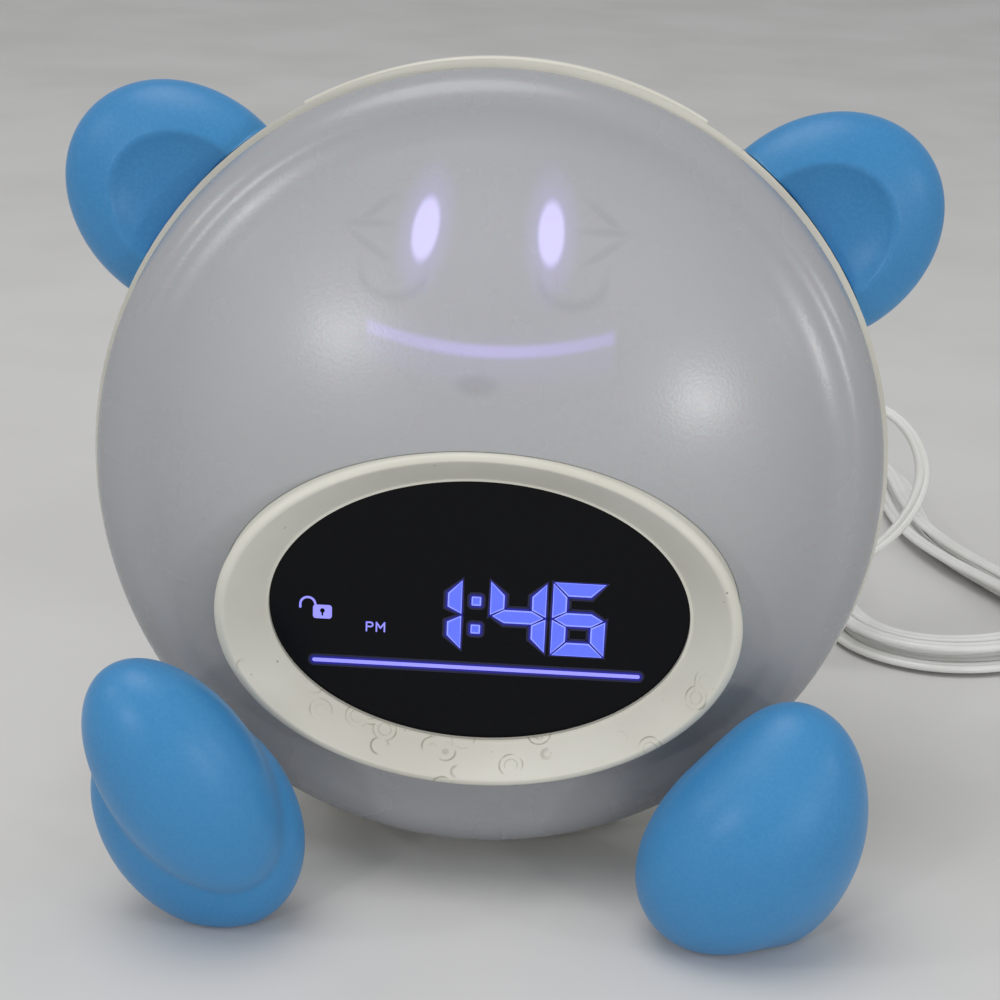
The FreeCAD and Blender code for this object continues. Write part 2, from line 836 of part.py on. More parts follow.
def rear_housing():
    """A moulded bowl: band, round back, screw bosses, grille, button holes, battery opening and snooze slot."""
    inside = "case_radius - case_wall"
    socket = "spigot_radius + fit_gap"
    shell = turned(
        "case_shell",
        [
            *case_profile(),
            ("0", f"{CASE_DEPTH} - case_wall"),
            (BACK_RADIUS, f"{CASE_DEPTH} - case_wall", "case_round - case_wall", -1),
            (inside, "case_band"),
            (inside, "spigot_length + 2"),
            (socket, "spigot_length + 1"),
            (socket, "0"),
        ],
    )
    adds = [shell]
    cuts = []
    skin = f"{CASE_DEPTH} - case_wall"
    for across, up in plate_screw_places():
        adds.append(rod("case_boss", "boss_radius", f"{skin} - 16.3 + case_wall / 2", (across, "16.3", up)))
        cuts.append(rod("case_screw_way", "screw_radius + 0.1", CASE_DEPTH, (across, "10", up)))
        cuts.append(rod("case_screw_well", "screw_head_radius + 0.3", "10", (across, f"{CASE_DEPTH} - 6", up)))
    for side in (LEFT, RIGHT):
        adds.append(
            box(
                "snooze_rib",
                (f"{side} * 16 - 1", "snooze_front + 4", "snooze_board_height - 6"),
                ("2", f"{CASE_DEPTH} - case_wall / 2 - snooze_front - 4", "6"),
            )
        )
        turn, _, _ = ear_frame(side)
        peg_start = Placement(ear_point(side, num("case_radius - 2 * peg_root")), Rotation())
        cuts.append(rod("peg_hole", "peg_radius + 0.05", "30", ("0", "0", "0"), turn, peg_start))
        lower_post = "button_board_low + board_post_radius + 1"
        upper_post = "button_board_low + button_board_height - board_post_radius - 1"
        for up in (lower_post, upper_post):
            post = (f"{side} * button_column", "button_board_front + board_thickness", up)
            adds.append(rod("board_post", "board_post_radius", f"{skin} - ({post[1]}) + case_wall / 2", post))
    ledge = box(
        "door_ledge",
        ("-door_width / 2 - door_ledge", f"{skin} - 1.6", "door_top - door_height - door_ledge"),
        ("door_width + 2 * door_ledge", "door_floor", "door_height + 2 * door_ledge"),
    )
    adds.append(ledge)
    opening = box(
        "door_opening",
        ("-door_width / 2 + door_ledge", "20", "door_top - door_height + door_ledge"),
        ("door_width - 2 * door_ledge", "40", "door_height - 2 * door_ledge"),
    )
    rebate = box(
        "door_rebate",
        ("-door_width / 2", skin, "door_top - door_height"),
        ("door_width", "10", "door_height"),
    )
    tab = box(
        "tab_rebate",
        ("-tab_width / 2", skin, "door_top - door_height - tab_height"),
        ("tab_width", "10", "tab_height + 1"),
    )
    tab_up = "door_top - door_height - tab_height / 2"
    tab_floor = box(
        "tab_floor",
        ("-tab_width / 2 - 1", f"{skin} - 1.6", "door_top - door_height - tab_height - 1"),
        ("tab_width + 2", "door_floor", "tab_height"),
    )
    adds.append(tab_floor)
    adds.append(rod("door_boss", "screw_head_radius", "10", ("0", f"{skin} - 10", tab_up)))
    cuts.append(rod("door_boss_way", "screw_radius + 0.1", "20", ("0", f"{skin} - 9", tab_up)))
    cuts += [opening, rebate, tab]
    for place in button_places().values():
        outline = pill(*place, "(button_length + 2 * fit_gap)", "(button_width + 2 * fit_gap)")
        cuts.append(padded("button_hole", outline, "20", offset=f"-({CASE_DEPTH} + 5)"))
    slider_hole = padded(
        "slider_hole",
        pill("0", "slider_height", "(slider_length + slider_travel + 2 * fit_gap)", "(slider_width + 2 * fit_gap)"),
        "20",
        offset=f"-({CASE_DEPTH} + 5)",
    )
    cuts.append(slider_hole)
    cuts.append(rod("jack_hole", "jack_radius", "20", ("jack_across", "25", "-jack_drop")))
    cuts += grille_holes()
    cuts.append(
        box(
            "snooze_slot",
            ("-snooze_half_width - fit_gap", "snooze_front - fit_gap", "snooze_floor - 14"),
            ("2 * (snooze_half_width + fit_gap)", "snooze_back - snooze_front + 2 * fit_gap", "40"),
        )
    )
    whole = fuse("case_whole", adds)
    keep("rear_housing", cut("rear_housing", whole, cuts), BODY)


def grille_holes():
    """Rings of round holes over the speaker."""
    holes = []
    for ring in range(int(num("grille_rings")) + 1):
        for step in range(6 * ring or 1):
            angle = 2 * math.pi * step / (6 * ring or 1)
            reach = num("grille_pitch") * ring
            across = reach * math.cos(angle)
            up = num("speaker_height") + reach * math.sin(angle)
            holes.append(rod("grille_hole", "grille_hole", "10", (across, f"{CASE_DEPTH} - 5", up)))
    return holes


def case_screws():
    turn = Rotation(Vector(0, 0, 1), Vector(0, -1, 0))
    start = f"{CASE_DEPTH} - 6 + screw_head"
    screws = [screw("case_screw", (across, start, up), turn, "24") for across, up in plate_screw_places()]
    keep("case_screws", group("case_screws", screws), BODY)


# Snooze bar


def bar_reach(proud, depth):
    """How far the case's round back reaches at a depth, for a skin that is proud of it."""
    return f"{BACK_RADIUS} + sqrt((case_round + {proud})^2 - ({depth} - case_band)^2)"


def snooze_button():
    """A curved push bar, proud of the case, with two ribs that meet the switches."""
    lip = [
        ("snooze_floor", "snooze_front"),
        ("case_radius + snooze_proud", "snooze_front"),
        ("case_radius + snooze_proud", "case_band", "case_round + snooze_proud", 1),
        (bar_reach("snooze_proud", "snooze_back"), "snooze_back"),
        ("snooze_floor", "snooze_back"),
    ]
    blank = turned("snooze_blank", lip)
    inner = [
        ("snooze_floor / 2", "snooze_front + shell_wall"),
        ("case_radius + snooze_proud - shell_wall", "snooze_front + shell_wall"),
        ("case_radius + snooze_proud - shell_wall", "case_band", "case_round + snooze_proud - shell_wall", 1),
        (bar_reach("snooze_proud - shell_wall", "snooze_back - shell_wall"), "snooze_back - shell_wall"),
        ("snooze_floor / 2", "snooze_back - shell_wall"),
    ]
    hollow = turned("snooze_hollow", inner)
    outer_limit = box(
        "snooze_limit",
        ("-snooze_half_width", "0", "snooze_floor * 0.7"),
        ("2 * snooze_half_width", "2 * snooze_back", "rim_radius"),
    )
    inner_limit = box(
        "hollow_limit",
        ("-snooze_half_width + shell_wall", "0", "0"),
        ("2 * (snooze_half_width - shell_wall)", "2 * snooze_back", "2 * rim_radius"),
    )
    inside = common("snooze_inside", hollow, inner_limit)
    bar = cut("snooze_shell", common("snooze_bar", blank, outer_limit), [inside])
    middle = "(snooze_front + snooze_back) / 2"
    tip = "snooze_board_height + board_thickness + switch_height + switch_stem + snooze_travel + fit_gap"
    ribs = []
    for side in (LEFT, RIGHT):
        foot = (f"{side} * switch_half_spacing", middle, tip)
        ribs.append(rod("snooze_plunger", "2", f"snooze_floor + 8.5 - ({tip})", foot, "z"))
    keep("snooze_button", fuse("snooze_button", [bar, *ribs]), BODY)


def snooze_board():
    board = box(
        "snooze_board",
        ("-22", "snooze_front + 4.5", "snooze_board_height"),
        ("44", "12", "board_thickness"),
    )
    keep("snooze_board", board, BODY)
    parts = []
    middle = "(snooze_front + snooze_back) / 2"
    top = "snooze_board_height + board_thickness"
    for side in (LEFT, RIGHT):
        across = f"{side} * switch_half_spacing"
        can = box(
            "snooze_can",
            (f"{across} - switch_size / 2", f"{middle} - switch_size / 2", top),
            ("switch_size", "switch_size", "switch_height"),
        )
        stem = rod("snooze_stem", "1.6", "switch_height + switch_stem", (across, middle, top), "z")
        parts.append(fuse("snooze_switch", [can, stem]))
    keep("snooze_switches", group("snooze_switches", parts), BODY)


# Rear controls


def rear_buttons():
    """Six soft pads, each with a flange inside the case."""
    skin = f"({CASE_DEPTH} - case_wall)"
    for name, place in button_places().items():
        cap = padded(
            f"{name}_cap",
            pill(*place, "button_length", "button_width"),
            "case_wall + button_proud + fit_gap",
            offset=f"-({CASE_DEPTH} + button_proud)",
        )
        flange = padded(
            f"{name}_flange",
            pill(*place, "(button_length + 3)", "(button_width + 3)"),
            "button_flange",
            offset=f"-({skin} - fit_gap)",
        )
        keep(name, fuse(name, [cap, flange]), BODY)


def button_boards():
    """One board behind each column of buttons, and the switches on them. The right one also carries the jack."""
    boards = [
        box(
            name,
            (f"{side} * button_column - 8", "button_board_front", "button_board_low"),
            ("16", "board_thickness", "button_board_height"),
        )
        for name, side in (("button_board_left", LEFT), ("button_board_upper", RIGHT))
    ]
    keep("button_board_left", boards[0], BODY)
    leg = box(
        "jack_board",
        ("jack_board_across", "button_board_front", "jack_board_low"),
        ("jack_across + 6 - jack_board_across", "board_thickness", "-jack_board_low"),
    )
    keep("button_board_right", fuse("button_board_right", [boards[1], leg]), BODY)
    back = "button_board_front + board_thickness"
    switches = []
    for across, up in button_places().values():
        can = box(
            "tact_can",
            (f"{across} - switch_size / 2", back, f"{up} - switch_size / 2"),
            ("switch_size", "switch_height", "switch_size"),
        )
        stem = rod("tact_stem", "1.6", "switch_height + switch_stem", (across, back, up))
        switches.append(fuse("tact_switch", [can, stem]))
    keep("tact_switches", group("tact_switches", switches), BODY)


def lock_switch():
    """The child-lock slider in its slot, and the switch that it moves."""
    skin = f"({CASE_DEPTH} - case_wall)"
    rest = "-slider_travel / 2"
    knob = padded(
        "lock_knob",
        pill(rest, "slider_height", "slider_length", "slider_width"),
        "case_wall + slider_proud + fit_gap",
        offset=f"-({CASE_DEPTH} + slider_proud)",
    )
    base = box(
        "lock_base",
        (f"{rest} - slider_length", f"{skin} - fit_gap - 1", "slider_height - 2.9"),
        ("2 * slider_length", "1.1", "5.8"),
    )
    keep("lock_switch", fuse("lock_switch", [knob, base]), BODY)
    can = box("lock_can", ("-7", f"{skin} - fit_gap * 2 - 6", "slider_height - 2.9"), ("14", "5", "5.8"))
    keep("lock_slider_body", can, BODY)


# Power and sound


def battery_parts():
    skin = f"({CASE_DEPTH} - case_wall)"
    low = "(door_top - door_height + door_ledge)"
    inner_width = "(door_width - 2 * door_ledge)"
    inner_height = "(door_height - 2 * door_ledge)"
    tray = box(
        "tray_block",
        (f"-{inner_width} / 2 - tray_wall", f"{skin} - 1.6 - tray_depth", f"{low} - tray_wall"),
        (f"{inner_width} + 2 * tray_wall", "tray_depth", f"{inner_height} + 2 * tray_wall"),
    )
    hollow = box(
        "tray_hollow",
        (f"-{inner_width} / 2", f"{skin} - 1.6 - tray_depth + tray_wall", low),
        (inner_width, "tray_depth", inner_height),
    )
    keep("battery_tray", cut("battery_tray", tray, [hollow]), BODY)
    cells = []
    leaves = []
    middle = "(door_top - door_height / 2)"
    deep = f"({skin} - 1.6 - tray_depth + tray_wall + cell_radius + 0.2)"
    for side in (LEFT, RIGHT):
        up = f"{middle} + {side} * cell_pitch / 2"
        can = rod("cell_can", "cell_radius", "cell_length - 1.5", ("-cell_length / 2", deep, up), "x")
        tip = rod("cell_tip", "2.7", "cell_length", ("-cell_length / 2", deep, up), "x")
        cells.append(fuse("battery_cell", [can, tip]))
        for end in (LEFT, RIGHT):
            low_x = f"{end} * (cell_length / 2 + 0.6) - 0.25"
            leaves.append(box("contact_leaf", (low_x, f"{deep} - 5", f"{up} - 5"), ("0.5", "10", "10")))
            wall_x = f"{end} * ({inner_width} / 2 - 0.5) - 0.25"
            leaves.append(box("contact_seat", (wall_x, f"{deep} - 5", f"{up} - 5"), ("0.5", "10", "10")))
    keep("battery_cells", group("battery_cells", cells), BODY)
    keep("battery_contacts", group("battery_contacts", leaves), BODY)
    door = box(
        "door_plate",
        ("-door_width / 2 + fit_gap", skin, "door_top - door_height + fit_gap"),
        ("door_width - 2 * fit_gap", "case_wall", "door_height - 2 * fit_gap"),
    )
    tab = box(
        "door_tab",
        ("-tab_width / 2 + fit_gap", skin, "door_top - door_height - tab_height + fit_gap"),
        ("tab_width - 2 * fit_gap", "case_wall", "tab_height"),
    )
    up = "door_top - door_height - tab_height / 2"
    grips = [
        box("door_groove", ("-10", f"{CASE_DEPTH} - 0.6", f"door_top - 6 - {step} * 2.4"), ("20", "5", "1.2"))
        for step in range(4)
    ]
    hole = rod("door_screw_hole", "screw_radius + 0.1", "20", ("0", "20", up))
    well = rod("door_screw_well", "screw_head_radius + 0.2", "20", ("0", f"{CASE_DEPTH} - 1", up))
    keep("battery_door", cut("battery_door", fuse("door_blank", [door, tab]), [hole, well, *grips]), BODY)
    turn = Rotation(Vector(0, 0, 1), Vector(0, -1, 0))
    keep("door_screw", screw("door_screw", ("0", f"{CASE_DEPTH} - 1 + screw_head", up), turn, "7"), BODY)


def dc_jack():
    """A panel socket with its centre pin, its face against the inside of the case."""
    seat = "(button_board_front + board_thickness)"
    depth = f"({CASE_DEPTH} - case_wall - {seat})"
    block = box(
        "jack_block",
        ("jack_across - 5", seat, "-jack_drop - 5.5"),
        ("10", depth, "11"),
    )
    collar = rod("jack_collar", "jack_radius - 0.05", f"{depth} + case_wall", ("jack_across", seat, "-jack_drop"))
    bore = rod("jack_bore", "jack_bore", CASE_DEPTH, ("jack_across", f"{seat} + 1.2", "-jack_drop"))
    pin = rod("jack_pin", "1", f"{depth} - 1", ("jack_across", f"{seat} + 0.6", "-jack_drop"))
    socket = cut("jack_socket", fuse("jack_blank", [block, collar]), [bore])
    keep("dc_jack", fuse("dc_jack", [socket, pin]), BODY)


def speaker():
    """Basket, cone and magnet of a small round speaker, held to the grille by a clamp."""
    skin = f"({CASE_DEPTH} - case_wall)"
    middle = Placement(vec("0", "0", "speaker_height"), Rotation())
    driver = turned(
        "speaker_driver",
        [
            ("0", f"{skin} - 3"),
            ("0", f"{skin} - 12"),
            ("speaker_radius * 0.55", f"{skin} - 12"),
            ("speaker_radius * 0.55", f"{skin} - 6"),
            ("speaker_radius - 3", f"{skin} - 2.5"),
            ("speaker_radius", f"{skin} - 2.5"),
            ("speaker_radius", skin),
            ("speaker_radius - 2", skin),
            ("speaker_radius * 0.4", f"{skin} - 4"),
        ],
    )
    driver.Placement = middle
    keep("speaker", driver, BODY)
    ring = turned(
        "speaker_ring",
        [
            ("speaker_radius - 2", f"{skin} - 2.8"),
            ("speaker_radius - 2", f"{skin} - 4"),
            ("speaker_radius + 2", f"{skin} - 4"),
            ("speaker_radius + 2", skin),
            ("speaker_radius + 0.2", skin),
            ("speaker_radius + 0.2", f"{skin} - 2.8"),
        ],
    )
    ring.Placement = middle
    keep("speaker_clamp", ring, BODY)


def main_board():
    front = "plate_front + plate_thickness + standoff_length"
    board = box(
        "main_board",
        ("-main_board_half_width", front, "main_board_low"),
        ("2 * main_board_half_width", "board_thickness", "2 * main_board_half_width"),
    )
    holes = [
        rod("board_way", "plate_boss_radius + 0.5", "10", (across, "5", up))
        for across, up in plate_screw_places()
    ]
    keep("main_board", cut("main_board", board, holes), BODY)
    back = f"{front} + board_thickness"
    chip = box("chip", ("-6", back, "4"), ("12", "1.6", "12"))
    header = box("display_header", ("-15", back, "-12"), ("30", "4", "3"))
    caps = [rod("capacitor", "3", "5", (across, back, "24")) for across in ("-22", "-14", "14")]
    keep("board_parts", group("board_parts", [chip, header, *caps]), BODY)


# Ears


def ear_frame(side):
    """The turn that lays Z along an ear's axis, the axis, and the way across it."""
    angle = math.radians(num("ear_angle"))
    axis = Vector(side * math.cos(angle), 0, math.sin(angle))
    across = Vector(math.sin(angle), 0, -side * math.cos(angle))
    return Rotation(Vector(0, 0, 1), axis), axis, across


def ear_point(side, reach):
    """A point on an ear's peg axis, that far from the middle of the disc."""
    _, axis, _ = ear_frame(side)
    return axis * reach + vec("0", "peg_back", "0")


def ears():
    """Thick rounded cups whose roots follow the case, each on a peg and a screw from inside."""
    screws = []
    for name, side in (("ear_left", LEFT), ("ear_right", RIGHT)):
        turn, axis, _ = ear_frame(side)
        middle = axis * num("ear_centre") + vec("0", "ear_back", "0")
        lobe = ball(f"{name}_lobe", ("ear_half_width", "ear_half_depth", "ear_half_height"), middle, turn)
        hollow_at = axis * num("dish_centre") + vec("0", "-dish_front", "0")
        dish = ball(f"{name}_dish", ("dish_half_width", "dish_half_depth", "dish_half_height"), hollow_at, turn)
        front = "-2 * ear_half_depth"
        root = turned(f"{name}_root", [*case_profile(front=front), ("0", front)])
        cup = cut(f"{name}_cup", lobe, [dish, root])
        base = ear_point(side, num("case_radius - peg_root"))
        peg = rod(f"{name}_peg", "peg_radius", "peg_length", (base.x, base.y, base.z), turn)
        head_at = ear_point(side, num("case_radius - peg_root - screw_head"))
        bore = rod(f"{name}_bore", "screw_radius", "2.25 * peg_length", (head_at.x, head_at.y, head_at.z), turn)
        keep(name, cut(name, fuse(f"{name}_whole", [cup, peg]), [bore]), BODY)
        screws.append(screw(f"{name}_screw", (head_at.x, head_at.y, head_at.z), turn, "1.75 * peg_length"))
    keep("ear_screws", group("ear_screws", screws), BODY)


# Feet and stand


def foot_lobe(part, word, side):
    """The toe or the heel of a foot: an ellipsoid whose top leans outwards."""
    key = f"{part}_{{}}_{word}".format
    tilt = Rotation(Vector(0, 1, 0), side * num(key("tilt")))
    if side == RIGHT:
        tilt = tilt.multiply(Rotation(Vector(0, 0, 1), 180))
    middle = vec(f"{side} * (swivel_across - {key('inset')})", f"-{key('front')}", key("height"))
    return ball(key("lobe"), (key("half_width"), key("half_depth"), key("half_height")), middle, tilt)


def feet():
    """Feet of two joined lobes, each turning on an upright pin in the eye of an arm that is fixed to the case."""
    for word, side in (("left", LEFT), ("right", RIGHT)):
        lobes = fuse(f"foot_lobes_{word}", [foot_lobe(part, word, side) for part in ("toe", "heel")])
        floor = box(
            f"foot_floor_{word}",
            ("-2 * rim_radius", "-2 * rim_radius", "-rim_radius"),
            ("4 * rim_radius", "4 * rim_radius", "rim_radius"),
        )
        swivel = (f"{side} * swivel_across", "-swivel_front")
        room = "(swivel_eye_radius + arm_radius)"
        pocket_low = "swivel_height - swivel_eye_height / 2 - 1"
        pocket = box(
            f"foot_pocket_{word}",
            (f"{swivel[0]} - {room}", f"{swivel[1]} - swivel_eye_radius - 1", pocket_low),
            (f"2 * {room}", "rim_radius", "swivel_eye_height + 2"),
        )
        pin_low = "swivel_height - swivel_pin_length / 2"
        pin_way = rod(f"foot_pin_way_{word}", "swivel_pin_radius", "swivel_pin_length", (*swivel, pin_low), "z")
        keep(f"foot_{word}", cut(f"foot_{word}", lobes, [floor, pocket, pin_way]), FLOOR)
        pin = rod(f"foot_pin_{word}", "swivel_pin_radius", "swivel_pin_length", (*swivel, pin_low), "z")
        keep(f"foot_pin_{word}", pin, FLOOR)
        foot_arm(word, side, swivel)


def foot_arm(word, side, swivel):
    """A saddle on the case, a round arm and an eye for the pin, all in the case's own frame."""
    to_body = BODY.inverse().multiply(FLOOR)
    eye_at = to_body.multVec(vec(*swivel, "swivel_height"))
    reach = num("case_radius + arm_radius + saddle_gap")
    root = Vector(side * reach * math.sqrt(0.5), num("case_band"), -reach * math.sqrt(0.5))
    way = eye_at - root
    shaft = doc.addObject("Part::Cylinder", f"foot_arm_shaft_{word}")
    shaft.setExpression("Radius", bound("arm_radius"))
    shaft.Height = way.Length
    shaft.Placement = Placement(root, Rotation(Vector(0, 0, 1), way))
    saddle = box(
        f"foot_saddle_{word}",
        ("case_radius - 4", "saddle_front", "-saddle_width / 2"),
        ("5.5 + 2 * arm_radius", "saddle_depth", "saddle_width"),
        Placement(Vector(0, 0, 0), Rotation(Vector(0, 1, 0), 45 if side > 0 else 135)),
    )
    upright = to_body.Rotation
    half = upright.multVec(Vector(0, 0, num("swivel_eye_height") / 2))
    low = eye_at - half
    eye = rod(f"foot_eye_{word}", "swivel_eye_radius", "swivel_eye_height", (low.x, low.y, low.z), upright)
    deep = eye_at - half * 2
    hole_name = f"foot_eye_hole_{word}"
    hole = rod(hole_name, "swivel_pin_radius + 0.05", "2 * swivel_eye_height", (deep.x, deep.y, deep.z), upright)
    band = rod(f"foot_band_{word}", "case_radius", "2 * case_band", ("0", "0", "0"))
    whole = fuse(f"foot_arm_whole_{word}", [shaft, saddle, eye])
    keep(f"foot_arm_{word}", cut(f"foot_arm_{word}", whole, [band, hole]), BODY)


def upright_edges(shape):
    """The numbers of a shape's upright edges."""
    return [
        number
        for number, edge in enumerate(shape.Edges, start=1)
        if edge.BoundBox.XLength + edge.BoundBox.YLength < edge.BoundBox.ZLength * 1e-3
    ]


def stand():
    """The moulded stand under the back of the case, and the rubber pads that it rests on."""
    low = "pad_thickness - pad_recess"
    block = box(
        "stand_block",
        ("-stand_width / 2", "stand_front", low),
        ("stand_width", "stand_depth", "centre_height / 4"),
    )
    doc.recompute()
    rounded = doc.addObject("Part::Fillet", "stand_rounded")
    rounded.Base = block
    rounded.Edges = [(edge, num("pad_radius"), num("pad_radius")) for edge in upright_edges(block.Shape)]
    case_solid = turned("stand_case", [*case_profile(), ("0", "0")])
    case_solid.Placement = FLOOR.inverse().multiply(BODY)
    recesses = []
    pads = []
    for side in (LEFT, RIGHT):
        for deep in ("stand_front + pad_radius + 1.5", "stand_front + stand_depth - pad_radius - 1.5"):
            place = (f"{side} * (stand_width / 2 - pad_radius - 2)", deep, "0")
            recesses.append(rod("pad_recess", "pad_radius", "pad_thickness", place, "z"))
            pads.append(rod("base_pad", "pad_radius", "pad_thickness", place, "z"))
    keep("base_stand", cut("base_stand", rounded, [case_solid, *recesses]), FLOOR)
    keep("base_pads", group("base_pads", pads), FLOOR)


# Lead and adapter


def tube_section(start, way, radius):
    return Part.Wire(Part.Circle(start, way, radius).toShape())


def arc_from(here, way, there):
    """The edge from one point to another that leaves along a way: an arc, or a line where that is straight."""
    chord = there - here
    rise = way - chord * (way.dot(chord) / chord.dot(chord))
    if rise.Length < 1e-4:
        return Part.LineSegment(here, there).toShape()
    angle = way.getAngle(chord)
    crown = (here + there) / 2 + rise.normalize() * (chord.Length / 2 * math.tan(angle / 2))
    return Part.Arc(here, crown, there).toShape()


def biarc(here, way, there, way_there):
    """Two arcs from here to there that keep both ways."""
    gap = there - here
    both = way + way_there
    share = 2 * (1 - way.dot(way_there))
    along = gap.dot(both)
    if share < 1e-6:
        reach = gap.dot(gap) / (4 * gap.dot(way_there))
    else:
        reach = (-along + math.sqrt(along**2 + share * gap.dot(gap))) / share
    middle = (here + there + (way - way_there) * reach) / 2
    first = arc_from(here, way, middle)
    second = arc_from(there, -way_there, middle)
    return [first, second]


def routed_tube(name, points):
    """A round tube along straight runs joined by tangent arcs, each as large as its runs allow."""
    radius = num("lead_diameter") / 2
    edges = []
    radii = []
    here = points[0]
    for before, corner, after in zip(points, points[1:], points[2:]):
        to_corner = corner - before
        to_next = after - corner
        turn = to_corner.getAngle(to_next)
        shorter = min(to_corner.Length, to_next.Length)
        set_back = 0.45 * shorter
        radii.append(set_back / math.tan(turn / 2))
        start = corner - Vector(to_corner).normalize() * set_back
        stop = corner + Vector(to_next).normalize() * set_back
        edges.append(Part.LineSegment(here, start).toShape())
        edges.append(arc_from(start, Vector(to_corner).normalize(), stop))
        here = stop
    edges.append(Part.LineSegment(here, points[-1]).toShape())
    path = Part.Wire(edges)
    section = tube_section(points[0], points[1] - points[0], radius)
    tube = path.makePipeShell([section], True, False)
    print(f"{name}: {path.Length:.0f} mm long, least radius {min(radii):.1f}, radii {[round(r) for r in radii]}")
    print(f"{name}: volume over section times length {tube.Volume / (math.pi * radius**2 * path.Length):.4f}")
    item = doc.addObject("Part::Feature", name)
    item.Shape = tube
    keep(name, item, FLOOR)


def hank_point(turns):
    """A point on the hank's line after so many turns: a loop drawn in at the waist, spiralling in on the lower
    layer and out again on the upper one, with the climb along a run."""
    start = num("hank_start")
    low_middle = 270
    reversal = math.floor(num("hank_loops") / 2) + (low_middle - start) / 360
    angle = math.radians(start + 360 * turns)
    step = abs(turns - reversal) * num("hank_pitch")

    def base(at):
        waist = 1 - num("hank_waist") * math.sin(at) ** 2
        across = num("hank_bulge * hank_half_width") * math.sin(at) * waist
        return Vector(num("hank_half_length") * math.cos(at), -across, 0)

    way = base(angle + 0.001) - base(angle - 0.001)
    outward = Vector(-way.y, way.x, 0).normalize()
    climb = min(max((turns - reversal + 0.25) / 0.5, 0.0), 1.0)
    level = num("lead_diameter / 2 + hank_clearance") + num("hank_pitch") * (3 * climb**2 - 2 * climb**3)
    flat = base(angle) + outward * step
    place = Placement(vec("hank_across", "hank_back", "0"), Rotation(Vector(0, 0, 1), num("hank_turn")))
    return place.multVec(flat + Vector(0, 0, level))


def hank_way(turns):
    return (hank_point(turns + 0.001) - hank_point(turns - 0.001)).normalize()


def cord_hank():
    """The tied-off length: loops of one unbroken tube on biarcs, two layers deep."""
    radius = num("lead_diameter") / 2
    per_loop = 12
    count = int(num("hank_loops")) * per_loop
    turns = [step / per_loop for step in range(count + 1)]
    points = [hank_point(turn) for turn in turns]
    ways = [hank_way(turn) for turn in turns]
    ways[0].z = 0
    ways[-1].z = 0
    edges = []
    for index in range(count):
        first, second = biarc(points[index], ways[index], points[index + 1], ways[index + 1])
        edges += [first, second]
    path = Part.Wire(Part.__sortEdges__(edges))
    tube = path.makePipeShell([tube_section(points[0], ways[0], radius)], True, False)
    per_loop = 160
    fine = [hank_point(step / per_loop) for step in range(int(num("hank_loops")) * per_loop + 1)]
    least = min(
        (fine[one] - fine[two]).Length
        for one in range(0, len(fine), 2)
        for two in range(one + per_loop // 4, len(fine))
    )
    tight = min(edge.Curve.Radius for edge in edges if hasattr(edge.Curve, "Radius"))
    print(f"cord_hank: {path.Length:.0f} mm long, least radius {tight:.1f}")
    print(f"cord_hank: least gap to itself {least - 2 * radius:.2f}")
    print(f"cord_hank: volume over section times length {tube.Volume / (math.pi * radius**2 * path.Length):.4f}")
    item = doc.addObject("Part::Feature", "cord_hank")
    item.Shape = tube
    keep("cord_hank", item, FLOOR)


def plug_end():
    """Where the lead leaves the plug, and its way, in the floor's frame."""
    to_floor = FLOOR.inverse().multiply(BODY)
    back = f"{CASE_DEPTH} + fit_gap + plug_length + relief_length"
    end = to_floor.multVec(vec("jack_across", back, "-jack_drop"))
    return end, to_floor.Rotation.multVec(Vector(0, 1, 0))


def cord_plug():
    """A straight moulded plug in the socket, with a tapered relief where the lead leaves it."""
    back = f"({CASE_DEPTH} + fit_gap)"
    grip = rod("plug_grip", "plug_radius", "plug_length", ("jack_across", back, "-jack_drop"))
    relief = doc.addObject("Part::Cone", "plug_relief")
    relief.setExpression("Radius1", bound("plug_radius - 0.8"))
    relief.setExpression("Radius2", bound("lead_diameter / 2 + 0.5"))
    relief.setExpression("Height", bound("relief_length"))
    relief.Placement = Placement(vec("jack_across", f"{back} + plug_length", "-jack_drop"), TO_AXIS["y"])
    tip = f"{CASE_DEPTH} - barrel_length"
    barrel = rod("plug_barrel", "plug_barrel", "barrel_length + fit_gap", ("jack_across", tip, "-jack_drop"))
    bore = rod("plug_bore", "1.1", "barrel_length", ("jack_across", tip, "-jack_drop"))
    keep("cord_plug", cut("cord_plug", fuse("plug_whole", [grip, relief, barrel]), [bore]), BODY)


def adapter_end():
    return vec("adapter_across", "adapter_back + adapter_length / 2 + relief_length", "adapter_height / 2")


def adapter():
    """The mains adapter at the far end of the lead, and its two blades."""
    body = box(
        "adapter_block",
        ("adapter_across - adapter_width / 2", "adapter_back - adapter_length / 2", "0"),
        ("adapter_width", "adapter_length", "adapter_height"),
    )
    doc.recompute()
    rounded = doc.addObject("Part::Fillet", "adapter_rounded")
    rounded.Base = body
    rounded.Edges = [(index + 1, 3.0, 3.0) for index in range(len(body.Shape.Edges))]
    relief = doc.addObject("Part::Cone", "adapter_relief")
    relief.setExpression("Radius1", bound("plug_radius - 0.8"))
    relief.setExpression("Radius2", bound("lead_diameter / 2 + 0.5"))
    relief.setExpression("Height", bound("relief_length"))
    root = vec("adapter_across", "adapter_back + adapter_length / 2", "adapter_height / 2")
    relief.Placement = Placement(root, TO_AXIS["y"])
    keep("adapter_body", fuse("adapter_body", [rounded, relief]), FLOOR)
    blades = [
        box(
            "adapter_blade",
            (
                f"adapter_across + {side} * blade_half_spacing - blade_thickness / 2",
                "adapter_back - adapter_length / 2 - blade_length",
                "adapter_height / 2 - blade_width / 2",
            ),
            ("blade_thickness", "blade_length", "blade_width"),
        )
        for side in (LEFT, RIGHT)
    ]
    keep("adapter_blades", group("adapter_blades", blades), FLOOR)


